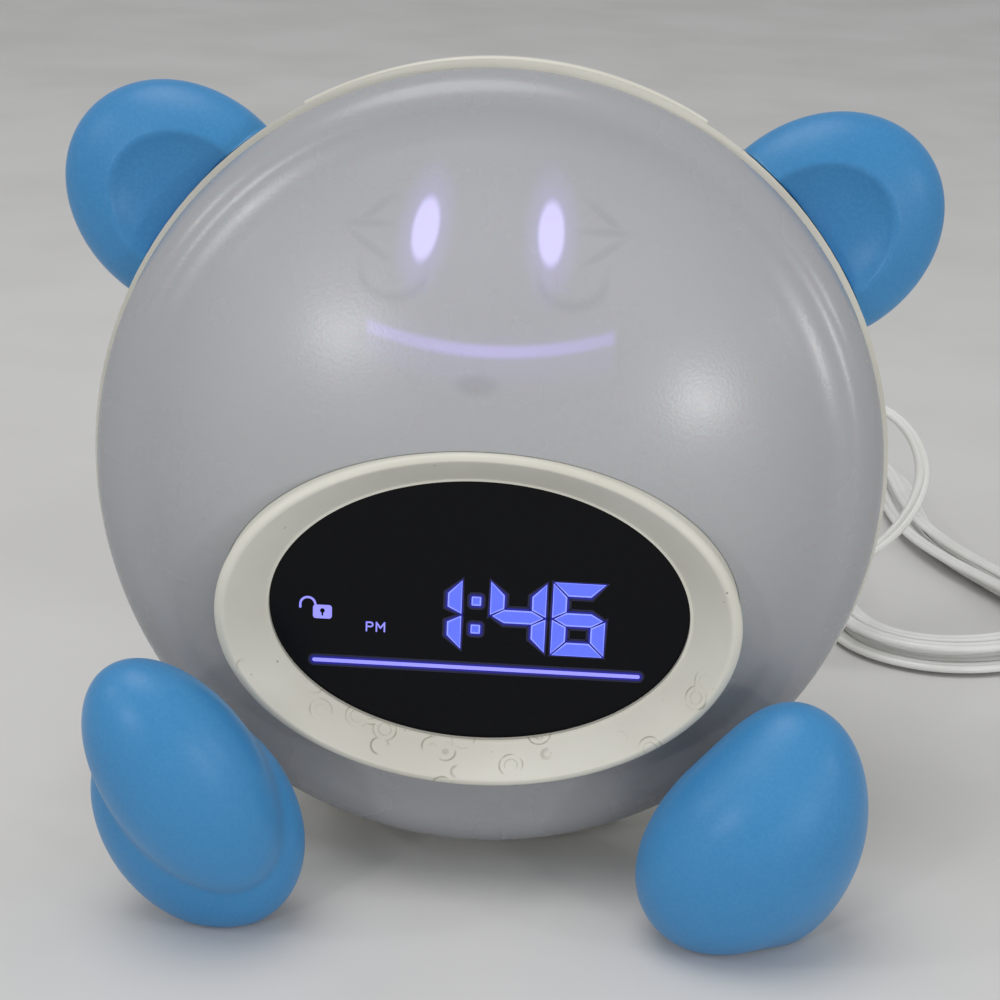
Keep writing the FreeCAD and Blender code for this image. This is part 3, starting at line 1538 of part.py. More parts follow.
def free_lead():
    start, way = plug_end()
    entry = hank_point(0)
    into = hank_way(0)
    into.z = 0
    route = [Vector(*point) for point in LEAD_ROUTE]
    before_entry = entry - into * num("lead_entry")
    routed_tube("power_lead", [start, start + way * num("lead_start"), *route, before_entry, entry])
    leave = hank_point(num("hank_loops"))
    away = hank_way(num("hank_loops"))
    away.z = 0
    end = adapter_end()
    stretch = [Vector(*point) for point in TAIL_ROUTE]
    reach = num("lead_leave")
    routed_tube("cord_tail", [leave, leave + away * reach, *stretch, end + Vector(0, reach, 0), end])


def check_document():
    for item in doc.Objects:
        if "Invalid" in item.State or "Error" in item.State:
            raise RuntimeError(f"{item.Label} failed: {item.State}")
    for name, item in nodes.items():
        if item.Shape.isNull() or not item.Shape.isValid() or not item.Shape.Solids:
            raise RuntimeError(f"{name} has no valid solid")


def export():
    os.makedirs("parts", exist_ok=True)
    for name, item in nodes.items():
        item.Shape.exportStep(f"parts/{name}.step")


front_diffuser()
display_bezel()
display_window()
display_stack()
face_mask()
light_baffle()
face_board()
face_leds()
reflector_plate()
night_light_leds()
rear_housing()
case_screws()
snooze_button()
snooze_board()
rear_buttons()
button_boards()
lock_switch()
battery_parts()
dc_jack()
speaker()
main_board()
ears()
feet()
stand()
cord_plug()
adapter()
cord_hank()
free_lead()
doc.recompute()
check_document()
export()
for name, item in nodes.items():
    shape_box = item.Shape.BoundBox
    print(f"{name}: {len(item.Shape.Solids)} solids, {item.Shape.Volume:.0f} mm3, z from {shape_box.ZMin:.1f}")
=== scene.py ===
import json
import math

import bmesh
import bpy
from mathutils import Matrix, Quaternion, Vector


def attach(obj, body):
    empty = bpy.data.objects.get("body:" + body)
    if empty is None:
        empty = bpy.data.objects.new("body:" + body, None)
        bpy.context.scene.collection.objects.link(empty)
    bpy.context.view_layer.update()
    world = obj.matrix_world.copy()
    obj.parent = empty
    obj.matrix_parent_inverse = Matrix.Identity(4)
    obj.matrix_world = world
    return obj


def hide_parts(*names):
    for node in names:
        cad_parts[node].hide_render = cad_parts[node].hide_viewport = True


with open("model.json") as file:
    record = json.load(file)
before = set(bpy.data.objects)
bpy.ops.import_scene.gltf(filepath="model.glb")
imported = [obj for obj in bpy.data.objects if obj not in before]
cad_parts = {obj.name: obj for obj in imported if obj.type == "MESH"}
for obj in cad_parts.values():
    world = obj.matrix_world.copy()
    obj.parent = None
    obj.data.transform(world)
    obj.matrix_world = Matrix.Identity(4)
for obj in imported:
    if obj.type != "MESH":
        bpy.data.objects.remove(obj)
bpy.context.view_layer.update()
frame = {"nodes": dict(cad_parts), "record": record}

NODES = frame["nodes"]

# Sizes in metres and degrees, the same as the part's
LEAN = 8.0
CENTRE_HEIGHT = 0.084
FRONT_SHIFT = 0.00808
RIM_RADIUS = 0.080
RIM_DEPTH = 0.004
SHOULDER = 0.008
CREASE_RADIUS = 0.070
DOME_HEIGHT = 0.017
SHELL_WALL = 0.002
SPIGOT_RADIUS = 0.0778
SPIGOT_WALL = 0.002
SPIGOT_LENGTH = 0.0035
FIT_GAP = 0.00035
BEZEL_GAP = 0.00012
CASE_RADIUS = 0.0815
CASE_BAND = 0.010
CASE_ROUND = 0.028
CASE_DEPTH = CASE_BAND + CASE_ROUND
BEZEL_HALF_WIDTH = 0.052
BEZEL_HALF_HEIGHT = 0.035
BEZEL_FRONT = 0.027
BEZEL_DROP = 0.0263
BEZEL_TILT = 5.0
BEZEL_LENGTH = 0.034
FUNNEL_DEPTH = 0.0065
WINDOW_DEPTH = 0.0077
DISPLAY_HALF_WIDTH = 0.042
DISPLAY_HALF_HEIGHT = 0.0275
EAR_ANGLE = 38.0
SNOOZE_HALF_WIDTH = 0.041
SNOOZE_FRONT = 0.0045
SNOOZE_BACK = 0.025
SNOOZE_DEPTH = 0.0095
SWIVEL_ACROSS = 0.05705
SWIVEL_FRONT = 0.037
SWIVEL_HEIGHT = 0.02695
BUTTON_COLUMN = 0.033
BUTTON_TOP = 0.032
BUTTON_PITCH = 0.013
BUTTON_PROUD = 0.0012
LEAD_DIAMETER = 0.004
LEFT = -1
RIGHT = 1

BODY = Matrix.Translation((0, FRONT_SHIFT, CENTRE_HEIGHT)) @ Matrix.Rotation(math.radians(-LEAN), 4, "X")
FLOOR = Matrix.Translation((0, FRONT_SHIFT, 0))
DISPLAY_TILT = Matrix.Rotation(math.radians(BEZEL_TILT), 4, "X")
DISPLAY = BODY @ Matrix.Translation((0, -BEZEL_FRONT, -BEZEL_DROP)) @ DISPLAY_TILT


# Camera

CAMERA_PLACE = Vector((0.01375, -0.38562, 0.22964))
CAMERA_TARGET = Vector((0.00259, 0.00808, 0.07647))
CAMERA_ROLL = 2.43
SENSOR_WIDTH = 36.0
FOCAL_LENGTH = 73.53


def add_camera():
    """The photograph's viewpoint: a little to the right and above, rolled a little."""
    data = bpy.data.cameras.new("camera")
    data.sensor_width = SENSOR_WIDTH
    data.lens = FOCAL_LENGTH
    data.clip_start = 0.01
    data.clip_end = 20.0
    camera = bpy.data.objects.new("camera", data)
    bpy.context.scene.collection.objects.link(camera)
    roll = Quaternion((0, 0, 1), math.radians(CAMERA_ROLL))
    turn = (CAMERA_TARGET - CAMERA_PLACE).to_track_quat("-Z", "Y") @ roll
    camera.matrix_world = Matrix.Translation(CAMERA_PLACE) @ turn.to_matrix().to_4x4()
    bpy.context.scene.camera = camera


# Lead

HANK_ACROSS = 0.106
HANK_BACK = 0.170
HANK_TURN = -74.4
HANK_HALF_LENGTH = 0.076
HANK_HALF_WIDTH = 0.030
HANK_WAIST = 0.75
HANK_BULGE = 1.9
HANK_PITCH = 0.0047
HANK_LOOPS = 4
HANK_START = 140.0
HANK_CLEARANCE = 0.0001
POINTS_PER_LOOP = 20
SMALL_TURN = 0.001
PLUG_LENGTH = 0.016
RELIEF_LENGTH = 0.008
JACK_ACROSS = 0.040
JACK_DROP = 0.022
ADAPTER_ACROSS = -0.024
ADAPTER_BACK = 0.172
ADAPTER_LENGTH = 0.040
ADAPTER_HEIGHT = 0.026
LEAD_START = 0.020
LEAD_ENTRY = 0.024
LEAD_LEAVE = 0.022
LEAD_ROUTE = [
    (0.050, 0.102, 0.055),
    (0.068, 0.115, 0.063),
    (0.088, 0.117, 0.066),
    (0.104, 0.113, 0.061),
    (0.110, 0.104, 0.049),
    (0.102, 0.094, 0.036),
    (0.085, 0.090, 0.025),
    (0.066, 0.093, 0.013),
    (0.046, 0.104, 0.004),
    (0.040, 0.127, 0.0022),
    (0.046, 0.151, 0.0022),
    (0.057, 0.171, 0.0022),
]
TAIL_ROUTE = [
    (0.037, 0.255, 0.004),
    (0.013, 0.258, 0.0022),
    (-0.010, 0.246, 0.004),
]


def hank_point(turns):
    """A point on the hank's line after so many turns, in the floor's frame."""
    reversal = HANK_LOOPS // 2 + (270 - HANK_START) / 360
    angle = math.radians(HANK_START + 360 * turns)

    def base(at):
        waist = 1 - HANK_WAIST * math.sin(at) ** 2
        across = -HANK_BULGE * HANK_HALF_WIDTH * math.sin(at) * waist
        return Vector((HANK_HALF_LENGTH * math.cos(at), across, 0))

    way = base(angle + SMALL_TURN) - base(angle - SMALL_TURN)
    outward = Vector((-way.y, way.x, 0)).normalized()
    climb = min(max((turns - reversal + 0.25) / 0.5, 0.0), 1.0)
    level = LEAD_DIAMETER / 2 + HANK_CLEARANCE + HANK_PITCH * (3 * climb**2 - 2 * climb**3)
    flat = base(angle) + outward * abs(turns - reversal) * HANK_PITCH
    place = Matrix.Translation((HANK_ACROSS, HANK_BACK, 0)) @ Matrix.Rotation(math.radians(HANK_TURN), 4, "Z")
    return place @ (flat + Vector((0, 0, level)))


def hank_way(turns):
    way = hank_point(turns + SMALL_TURN) - hank_point(turns - SMALL_TURN)
    way.z = 0
    return way.normalized()


def lead_points():
    """Control points of the whole lead: free stretch, hank and tail."""
    back = CASE_DEPTH + FIT_GAP + PLUG_LENGTH + RELIEF_LENGTH
    to_floor = FLOOR.inverted() @ BODY
    start = to_floor @ Vector((JACK_ACROSS, back, -JACK_DROP))
    way = to_floor.to_3x3() @ Vector((0, 1, 0))
    points = [start, start + way * LEAD_START]
    points += [Vector(point) for point in LEAD_ROUTE]
    points.append(hank_point(0) - hank_way(0) * LEAD_ENTRY)
    points += [hank_point(step / POINTS_PER_LOOP) for step in range(HANK_LOOPS * POINTS_PER_LOOP + 1)]
    points.append(hank_point(HANK_LOOPS) + hank_way(HANK_LOOPS) * LEAD_LEAVE)
    points += [Vector(point) for point in TAIL_ROUTE]
    end = Vector((ADAPTER_ACROSS, ADAPTER_BACK + ADAPTER_LENGTH / 2 + RELIEF_LENGTH, ADAPTER_HEIGHT / 2))
    points += [end + Vector((0, LEAD_LEAVE, 0)), end]
    return [FLOOR @ point for point in points]


def strand_pair():
    """The section of two joined strands, as a closed curve that the lead is bevelled with."""
    data = bpy.data.curves.new("strand_pair", "CURVE")
    data.dimensions = "2D"
    spline = data.splines.new("POLY")
    steps = 14
    sweep = 300
    radius = LEAD_DIAMETER / 4
    offset = radius * 0.96
    corners = []
    for side in (LEFT, RIGHT):
        for step in range(steps):
            angle = math.radians(-sweep / 2 + sweep * step / (steps - 1)) + (math.pi if side == LEFT else 0)
            corners.append((side * offset + radius * math.cos(angle), radius * math.sin(angle)))
    spline.points.add(len(corners) - 1)
    for point, (across, up) in zip(spline.points, corners):
        point.co = (across, up, 0, 1)
    spline.use_cyclic_u = True
    return bpy.data.objects.new("strand_pair", data)


def add_lead(material):
    points = lead_points()
    data = bpy.data.curves.new("mains_lead", "CURVE")
    data.dimensions = "3D"
    data.twist_mode = "Z_UP"
    data.resolution_u = 6
    spline = data.splines.new("NURBS")
    spline.points.add(len(points) - 1)
    for point, place in zip(spline.points, points):
        point.co = (*place, 1)
    spline.order_u = 3
    spline.use_endpoint_u = True
    data.bevel_mode = "OBJECT"
    data.bevel_object = strand_pair()
    data.use_fill_caps = True
    lead = bpy.data.objects.new("mains_lead", data)
    bpy.context.scene.collection.objects.link(lead)
    data.materials.append(material)
    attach(lead, "clock")
    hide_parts("power_lead", "cord_hank", "cord_tail")


# Shader helpers


def linear(red, green, blue):
    """A colour as it looks on a screen, out of 255, as the linear one that a shader takes."""
    parts = []
    for part in (red, green, blue):
        share = part / 255
        parts.append(share / 12.92 if share <= 0.04045 else ((share + 0.055) / 1.055) ** 2.4)
    return (*parts, 1.0)


class Shader:
    """A node material, with short calls for the nodes that it is made of."""

    def __init__(self, name, colour, roughness, **sockets):
        self.material = bpy.data.materials.new(name)
        self.material.use_nodes = True
        self.material.diffuse_color = colour
        self.tree = self.material.node_tree
        self.surface = self.tree.nodes["Principled BSDF"]
        self.surface.inputs["Base Color"].default_value = colour
        self.surface.inputs["Roughness"].default_value = roughness
        for socket, value in sockets.items():
            self.surface.inputs[socket.replace("_", " ")].default_value = value
        self.place = self.node("ShaderNodeTexCoord").outputs["Object"]

    def node(self, kind, **settings):
        node = self.tree.nodes.new(kind)
        for key, value in settings.items():
            setattr(node, key, value)
        return node

    def join(self, source, target):
        """Sets a socket to a number or a colour, or links it to another socket."""
        if isinstance(source, (int, float, tuple)):
            target.default_value = source
        else:
            self.tree.links.new(source, target)

    def parts(self):
        """A place's x, y and z."""
        node = self.node("ShaderNodeSeparateXYZ")
        self.join(self.place, node.inputs[0])
        return node.outputs

    def sum(self, operation, *values):
        node = self.node("ShaderNodeMath", operation=operation)
        for socket, value in zip(node.inputs, values):
            self.join(value, socket)
        return node.outputs[0]

    def gather(self, operation, values):
        """All values taken together by one operation."""
        result = values[0]
        for value in values[1:]:
            result = self.sum(operation, result, value)
        return result

    def product(self, *values):
        return self.gather("MULTIPLY", values)

    def less(self, one, two):
        return self.sum("SUBTRACT", one, two)

    def size(self, value):
        return self.sum("ABSOLUTE", value)

    def length(self, one, two):
        return self.sum("SQRT", self.sum("ADD", self.product(one, one), self.product(two, two)))

    def noise(self, scale, detail=2.0):
        node = self.node("ShaderNodeTexNoise")
        self.join(self.place, node.inputs["Vector"])
        node.inputs["Scale"].default_value = scale
        node.inputs["Detail"].default_value = detail
        return node.outputs["Fac"]

    def cells(self, scale, feature="F1"):
        node = self.node("ShaderNodeTexVoronoi", feature=feature)
        self.join(self.place, node.inputs["Vector"])
        node.inputs["Scale"].default_value = scale
        return node.outputs["Distance"]

    def ramp(self, value, low, high, start=0.0, end=1.0):
        node = self.node("ShaderNodeMapRange", interpolation_type="SMOOTHSTEP")
        for socket, number in zip(node.inputs, (value, low, high, start, end)):
            self.join(number, socket)
        return node.outputs[0]

    def fall(self, value, low, high, start=1.0):
        """A ramp that goes down to nothing."""
        return self.ramp(value, low, high, start, 0.0)

    def drift(self, scale, detail, low, high):
        """A slow change from 0 to 1 over the surface."""
        return self.ramp(self.noise(scale, detail), low, high)

    def specks(self, scale, radii, patches, share):
        """Small round specks that lie in patches."""
        return self.product(self.fall(self.cells(scale), *radii), self.drift(*patches), share)

    def mix(self, share, one, two):
        node = self.node("ShaderNodeMix", data_type="RGBA")
        self.join(share, node.inputs[0])
        self.join(one, node.inputs[6])
        self.join(two, node.inputs[7])
        return node.outputs[2]

    def bumps(self, *layers):
        """Bump layers, each a height, a strength and a distance in metres."""
        normal = None
        for height, strength, distance in layers:
            node = self.node("ShaderNodeBump")
            self.join(height, node.inputs["Height"])
            node.inputs["Strength"].default_value = strength
            node.inputs["Distance"].default_value = distance
            if normal is not None:
                self.join(normal, node.inputs["Normal"])
            normal = node.outputs[0]
        self.join(normal, self.surface.inputs["Normal"])

    def colour(self, value):
        self.join(value, self.surface.inputs["Base Color"])

    def rough(self, scale, high, least, most):
        """An uneven gloss, between two roughnesses."""
        self.join(self.ramp(self.noise(scale, 3.0), 0.3, high, least, most), self.surface.inputs["Roughness"])


# Materials


def moulded(name, colour, other, roughness):
    """Moulded plastic: fine grain, slow colour drift and slightly uneven gloss."""
    shader = Shader(name, colour, roughness)
    shader.base = shader.mix(shader.drift(24.0, 4.0, 0.35, 0.7), colour, other)
    shader.colour(shader.base)
    shader.rough(70.0, 0.75, roughness - 0.05, roughness + 0.07)
    shader.bumps((shader.noise(900.0), 0.35, 0.00002), (shader.noise(90.0), 0.1, 0.00004))
    return shader


def metal(name, colour, roughness):
    shader = Shader(name, colour, roughness, Metallic=1.0)
    shader.rough(400.0, 0.7, roughness - 0.08, roughness + 0.12)
    shader.bumps((shader.noise(1400.0), 0.25, 0.00001))
    return shader


def ivory():
    """Moulded ivory plastic with specks of dirt."""
    shader = moulded("ivory_plastic", linear(212, 210, 199), linear(203, 200, 188), 0.42)
    dirt = shader.specks(260.0, (0.05, 0.09), (55.0, 3.0, 0.6, 0.72), 0.35)
    shader.colour(shader.mix(dirt, shader.base, linear(140, 128, 104)))
    return shader


def funnel_ivory():
    """The display frame's ivory: specks all over, and faint rings of dried drops on its lower slope."""
    shader = moulded("funnel_ivory", linear(210, 208, 197), linear(201, 198, 186), 0.4)
    _, _, up = shader.parts()
    far = shader.cells(150.0)
    rim = shader.fall(shader.size(shader.less(far, 0.36)), 0.012, 0.035)
    inner = shader.fall(shader.size(shader.less(far, 0.2)), 0.01, 0.03, 0.6)
    broken = shader.drift(210.0, 3.0, 0.42, 0.62)
    some = shader.drift(48.0, 1.0, 0.40, 0.50)
    low = shader.fall(up, -0.014, -0.004)
    rings = shader.product(shader.sum("MAXIMUM", rim, inner), broken, some, low, 0.75)
    base = shader.mix(rings, shader.base, linear(136, 131, 112))
    dirt = shader.specks(330.0, (0.05, 0.1), (70.0, 3.0, 0.52, 0.66), 0.7)
    shader.colour(shader.mix(dirt, base, linear(104, 98, 84)))
    return shader


def soft_touch():
    """Blue rubbery coating: matt, fine grained, a little lighter where it is rubbed."""
    colour = linear(50, 123, 176)
    sockets = {"Sheen_Weight": 0.08, "Sheen_Roughness": 0.4, "Specular_IOR_Level": 0.4}
    shader = Shader("blue_soft_touch", colour, 0.46, **sockets)
    base = shader.mix(shader.drift(28.0, 4.0, 0.3, 0.72), colour, linear(56, 130, 183))
    rubbed = shader.product(shader.drift(1500.0, 2.0, 0.35, 0.7), 0.22)
    base = shader.mix(rubbed, base, linear(78, 145, 194))
    dirt = shader.specks(190.0, (0.035, 0.06), (60.0, 2.0, 0.62, 0.7), 0.5)
    shader.colour(shader.mix(dirt, base, linear(24, 76, 124)))
    shader.rough(50.0, 0.75, 0.34, 0.46)
    shader.bumps((shader.noise(1500.0), 0.3, 0.00003), (shader.noise(160.0, 3.0), 0.12, 0.00008))
    return shader


# The face, as x and z in the disc's frame, and a tilt where a shape has one
EYES = ((-0.0134, 0.0498, 8.5), (0.0106, 0.0500, -1.0))
EYE_HALVES = (0.0025, 0.0060)
# Lids, lashes and mouth are painted on the dome as faint shadows of the mask behind it
LIDS = (-0.0192, 0.0152)
LID_LOW = 0.0368
LASHES = (
    (-0.0232, 0.0530, 52.0),
    (-0.0246, 0.0502, 88.0),
    (-0.0242, 0.0462, 122.0),
    (0.0206, 0.0536, -52.0),
    (0.0212, 0.0506, -88.0),
    (0.0208, 0.0468, -122.0),
)
LASH_HALVES = (0.0007, 0.0040)
MOUTH = (-0.0020, 0.0213, 0.0)
MOUTH_HALVES = (0.0038, 0.0019)
SMILE_RADIUS = 0.0822
SMILE_LOW = 0.0278
HAZE_LOW = 0.0262
# INSIDE and INSIDE_HALVES give an oval of faint grey-violet painted shade over the face
INSIDE = (-0.001, 0.040, 0.0)
INSIDE_HALVES = (0.036, 0.030)


def frosted():
    """The lit dome: frosted plastic with the face glowing through it, read in the disc's frame."""
    # Painted shade: top and low make the dome lighter at the top and darker at the bottom, where it faces down
    top = linear(173, 174, 177)
    low = linear(154, 155, 157)
    sockets = {"Subsurface_Weight": 0.15, "Subsurface_Scale": 0.004, "Specular_IOR_Level": 0.5}
    shader = Shader("frosted_plastic", top, 0.3, **sockets)
    across, _, up = shader.parts()

    def away(spot, halves):
        """How far a place lies from the middle of a tilted oval, as a share of the oval's halves."""
        turn = math.radians(spot[2])
        dx = shader.less(across, spot[0])
        dz = shader.less(up, spot[1])
        along = shader.sum("ADD", shader.product(dx, math.cos(turn)), shader.product(dz, -math.sin(turn)))
        over = shader.sum("ADD", shader.product(dx, math.sin(turn)), shader.product(dz, math.cos(turn)))
        return shader.length(shader.sum("DIVIDE", along, halves[0]), shader.sum("DIVIDE", over, halves[1]))

    def arc(middle, lowest, radius, half_width, thick, soft):
        """The lower arc of a circle as a soft line, which fades at its ends."""
        dx = shader.less(across, middle)
        dz = shader.less(up, lowest + radius)
        off = shader.size(shader.less(shader.length(dx, dz), radius))
        line = shader.fall(off, thick / 2 - soft, thick / 2 + soft)
        ends = shader.fall(shader.size(dx), half_width - 0.001, half_width + 0.0008)
        below = shader.fall(dz, -0.0005, 0.0005)
        return shader.product(line, ends, below)

    eyes = [away(eye, EYE_HALVES) for eye in EYES]
    core = shader.gather("ADD", [shader.fall(eye, 0.8, 1.22) for eye in eyes])
    glow = shader.gather("ADD", [shader.fall(eye, 0.8, 2.6) for eye in eyes])
    smile = arc(0.0, SMILE_LOW, SMILE_RADIUS, 0.0238, 0.0023, 0.0007)
    smile = shader.product(smile, shader.ramp(shader.size(across), 0.0, 0.026, 1.0, 0.62))
    haze = arc(0.0, HAZE_LOW, SMILE_RADIUS, 0.0240, 0.0075, 0.0040)
    # Painted shadows: the closed lids, lashes and mouth of the mask behind the dome
    marks = [arc(middle, LID_LOW, 0.0075, 0.0068, 0.0016, 0.0012) for middle in LIDS]
    marks += [shader.fall(away(lash, LASH_HALVES), 0.5, 1.7, 0.8) for lash in LASHES]
    marks.append(shader.fall(away(MOUTH, MOUTH_HALVES), 0.55, 1.5, 1.2))
    shade = shader.gather("MAXIMUM", marks)
    # Painted shade: a faint grey-violet cloud over the face
    inside = shader.fall(away(INSIDE, INSIDE_HALVES), 0.2, 1.3)
    # Painted shade: outer darkens the dome towards its rim
    outer = shader.ramp(shader.length(across, up), 0.045, 0.079)

    # Painted shade: the base colour darkens towards the bottom of the dome
    base = shader.mix(shader.ramp(up, -0.070, 0.060), low, top)
    for share, other in (
        (shader.product(shader.drift(30.0, 3.0, 0.3, 0.7), 0.12), linear(166, 167, 170)),
        (shader.product(inside, 0.3), linear(166, 165, 174)),
        # painted shade towards the rim
        (shader.product(outer, 0.45), linear(134, 135, 139)),
        # painted shadows of the lids, lashes and mouth
        (shader.product(shade, 0.15), linear(104, 108, 114)),
    ):
        base = shader.mix(share, base, other)
    shader.colour(base)
    light = shader.mix(core, linear(140, 126, 236), linear(196, 182, 255))
    light = shader.mix(smile, light, linear(158, 134, 244))
    shader.join(light, shader.surface.inputs["Emission Color"])
    lit = ((core, 0.40), (glow, 0.16), (smile, 0.3), (haze, 0.06))
    power = shader.gather("ADD", [shader.product(part, share) for part, share in lit])
    shader.join(power, shader.surface.inputs["Emission Strength"])
    shader.rough(60.0, 0.75, 0.24, 0.30)
    shader.bumps((shader.noise(1500.0), 0.6, 0.00004), (shader.noise(45.0), 0.05, 0.0001))
    return shader


def lead_plastic():
    colour = linear(226, 226, 224)
    shader = Shader("lead_white", colour, 0.3, Coat_Weight=0.25, Coat_Roughness=0.2)
    shader.colour(shader.mix(shader.drift(40.0, 3.0, 0.35, 0.7), colour, linear(214, 213, 208)))
    shader.bumps((shader.noise(700.0), 0.15, 0.00002))
    return shader


def circuit_board():
    colour = linear(24, 92, 52)
    shader = Shader("circuit_board", colour, 0.4)
    tracks = shader.fall(shader.cells(260.0, "DISTANCE_TO_EDGE"), 0.03, 0.06)
    shader.colour(shader.mix(shader.product(tracks, 0.5), colour, linear(60, 132, 74)))
    shader.bumps((tracks, 0.2, 0.00005))
    return shader


def glowing(name, colour, strength):
    shader = Shader(name, colour, 0.4)
    shader.surface.inputs["Emission Color"].default_value = colour
    shader.surface.inputs["Emission Strength"].default_value = strength
    dimmer = (*(0.92 * part for part in colour[:3]), 1.0)
    shader.colour(shader.mix(shader.drift(400.0, 2.0, 0.3, 0.7), colour, dimmer))
    return shader


def screen_black():
    """The display's face: dark glossy plastic with dust on it."""
    colour = linear(2, 3, 7)
    shader = Shader("dark_window", colour, 0.24, Specular_IOR_Level=0.16)
    dust = shader.specks(420.0, (0.02, 0.05), (60.0, 2.0, 0.6, 0.7), 0.35)
    shader.colour(shader.mix(dust, colour, linear(110, 112, 118)))
    shader.rough(80.0, 0.7, 0.2, 0.3)
    return shader


def clear_glass():
    shader = Shader("display_glass", linear(20, 21, 26), 0.15)
    shader.rough(80.0, 0.7, 0.1, 0.2)
    return shader


# Mesh helpers


def add_mesh(name, vertices, faces, material, place, smooth=True):
    data = bpy.data.meshes.new(name)
    data.from_pydata([tuple(vertex) for vertex in vertices], [], faces)
    work = bmesh.new()
    work.from_mesh(data)
    bmesh.ops.remove_doubles(work, verts=work.verts, dist=1e-7)
    bmesh.ops.recalc_face_normals(work, faces=work.faces)
    work.to_mesh(data)
    work.free()
    if smooth:
        data.polygons.foreach_set("use_smooth", [True] * len(data.polygons))
    piece = bpy.data.objects.new(name, data)
    bpy.context.scene.collection.objects.link(piece)
    piece.matrix_world = place
    if material is not None:
        data.materials.append(material)
    return piece


def row_faces(rows, count, closed=False):
    """Four-cornered faces between rows of closed outlines, with the last row joined to the first if closed."""
    faces = []
    for row in range(rows if closed else rows - 1):
        one = row * count
        two = (row + 1) % rows * count
        for index in range(count):
            after = (index + 1) % count
            faces.append((one + index, one + after, two + after, two + index))
    return faces


def end_faces(rows, count):
    """The two faces that close a run of outlines at its ends."""
    return [tuple(range(count)), tuple(range((rows - 1) * count, rows * count))]


def around(steps):
    """The cosine and sine at even steps round a circle."""
    angles = [2 * math.pi * step / steps for step in range(steps)]
    return [(math.cos(angle), math.sin(angle)) for angle in angles]


def quarter(rounding):
    """The cosine and sine at even steps over a quarter of a circle."""
    angles = [math.pi / 2 * step / rounding for step in range(rounding + 1)]
    return [(math.cos(angle), math.sin(angle)) for angle in angles]


def arc_points(middle, radius, start, end, steps):
    """Pairs of two coordinates along an arc, with its angles in degrees."""
    points = []
    for step in range(steps + 1):
        angle = math.radians(start + (end - start) * step / steps)
        points.append((middle[0] + radius * math.cos(angle), middle[1] + radius * math.sin(angle)))
    return points


def cut_away(piece, tool):
    """Takes the tool's volume out of a piece, and the tool out of the scene."""
    cut = piece.modifiers.new("cut", "BOOLEAN")
    cut.operation = "DIFFERENCE"
    cut.solver = "EXACT"
    cut.object = tool
    graph = bpy.context.evaluated_depsgraph_get()
    data = bpy.data.meshes.new_from_object(piece.evaluated_get(graph))
    piece.modifiers.clear()
    old = piece.data
    piece.data = data
    bpy.data.meshes.remove(old)
    bpy.data.objects.remove(tool)


def smooth_by_angle(piece, limit):
    piece.data.polygons.foreach_set("use_smooth", [True] * len(piece.data.polygons))
    piece.data.set_sharp_from_angle(angle=math.radians(limit))


# Dome


def add_dome(material):
    """The frosted front: dome, crease, round shoulder, straight rim and spigot, with the oval opening."""
    dome_steps = 30
    turned_steps = 256
    opening_steps = 160
    opening_front = -0.02
    crease = 0.6
    rim_edge = 0.0006
    spigot_root = -0.001
    sphere = (CREASE_RADIUS**2 + DOME_HEIGHT**2) / (2 * DOME_HEIGHT)
    crown = RIM_DEPTH + SHOULDER + DOME_HEIGHT
    half = math.degrees(math.asin(CREASE_RADIUS / sphere))
    shoulder = (RIM_RADIUS - SHOULDER, -RIM_DEPTH)
    outer = arc_points((0.0, -crown + sphere), sphere, -89.9, -90 + half - crease, dome_steps)
    inner = [(radius, depth + SHELL_WALL) for radius, depth in outer]
    inner += arc_points(shoulder, SHOULDER - SHELL_WALL, -90, 0, 10)
    profile = outer + arc_points(shoulder, SHOULDER, -90, 0, 14)
    profile += [(RIM_RADIUS, -rim_edge), (RIM_RADIUS - rim_edge, 0.0), (SPIGOT_RADIUS, 0.0)]
    profile += [(SPIGOT_RADIUS, SPIGOT_LENGTH), (SPIGOT_RADIUS - SPIGOT_WALL, SPIGOT_LENGTH)]
    profile += [(SPIGOT_RADIUS - SPIGOT_WALL, spigot_root)]
    profile += inner[::-1]
    vertices = []
    for cosine, sine in around(turned_steps):
        vertices += [(radius * cosine, depth, radius * sine) for radius, depth in profile]
    faces = row_faces(turned_steps, len(profile), closed=True)
    dome = add_mesh("frosted_dome", vertices, faces, material, BODY)
    width = BEZEL_HALF_WIDTH + BEZEL_GAP
    height = BEZEL_HALF_HEIGHT + BEZEL_GAP
    vertices = []
    for depth in (opening_front, BEZEL_LENGTH):
        vertices += [(width * cosine, depth, height * sine) for cosine, sine in around(opening_steps)]
    faces = row_faces(2, opening_steps) + end_faces(2, opening_steps)
    cut_away(dome, add_mesh("opening_tool", vertices, faces, None, DISPLAY))
    smooth_by_angle(dome, 38)
    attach(dome, "clock")
    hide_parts("front_diffuser")


# Display frame


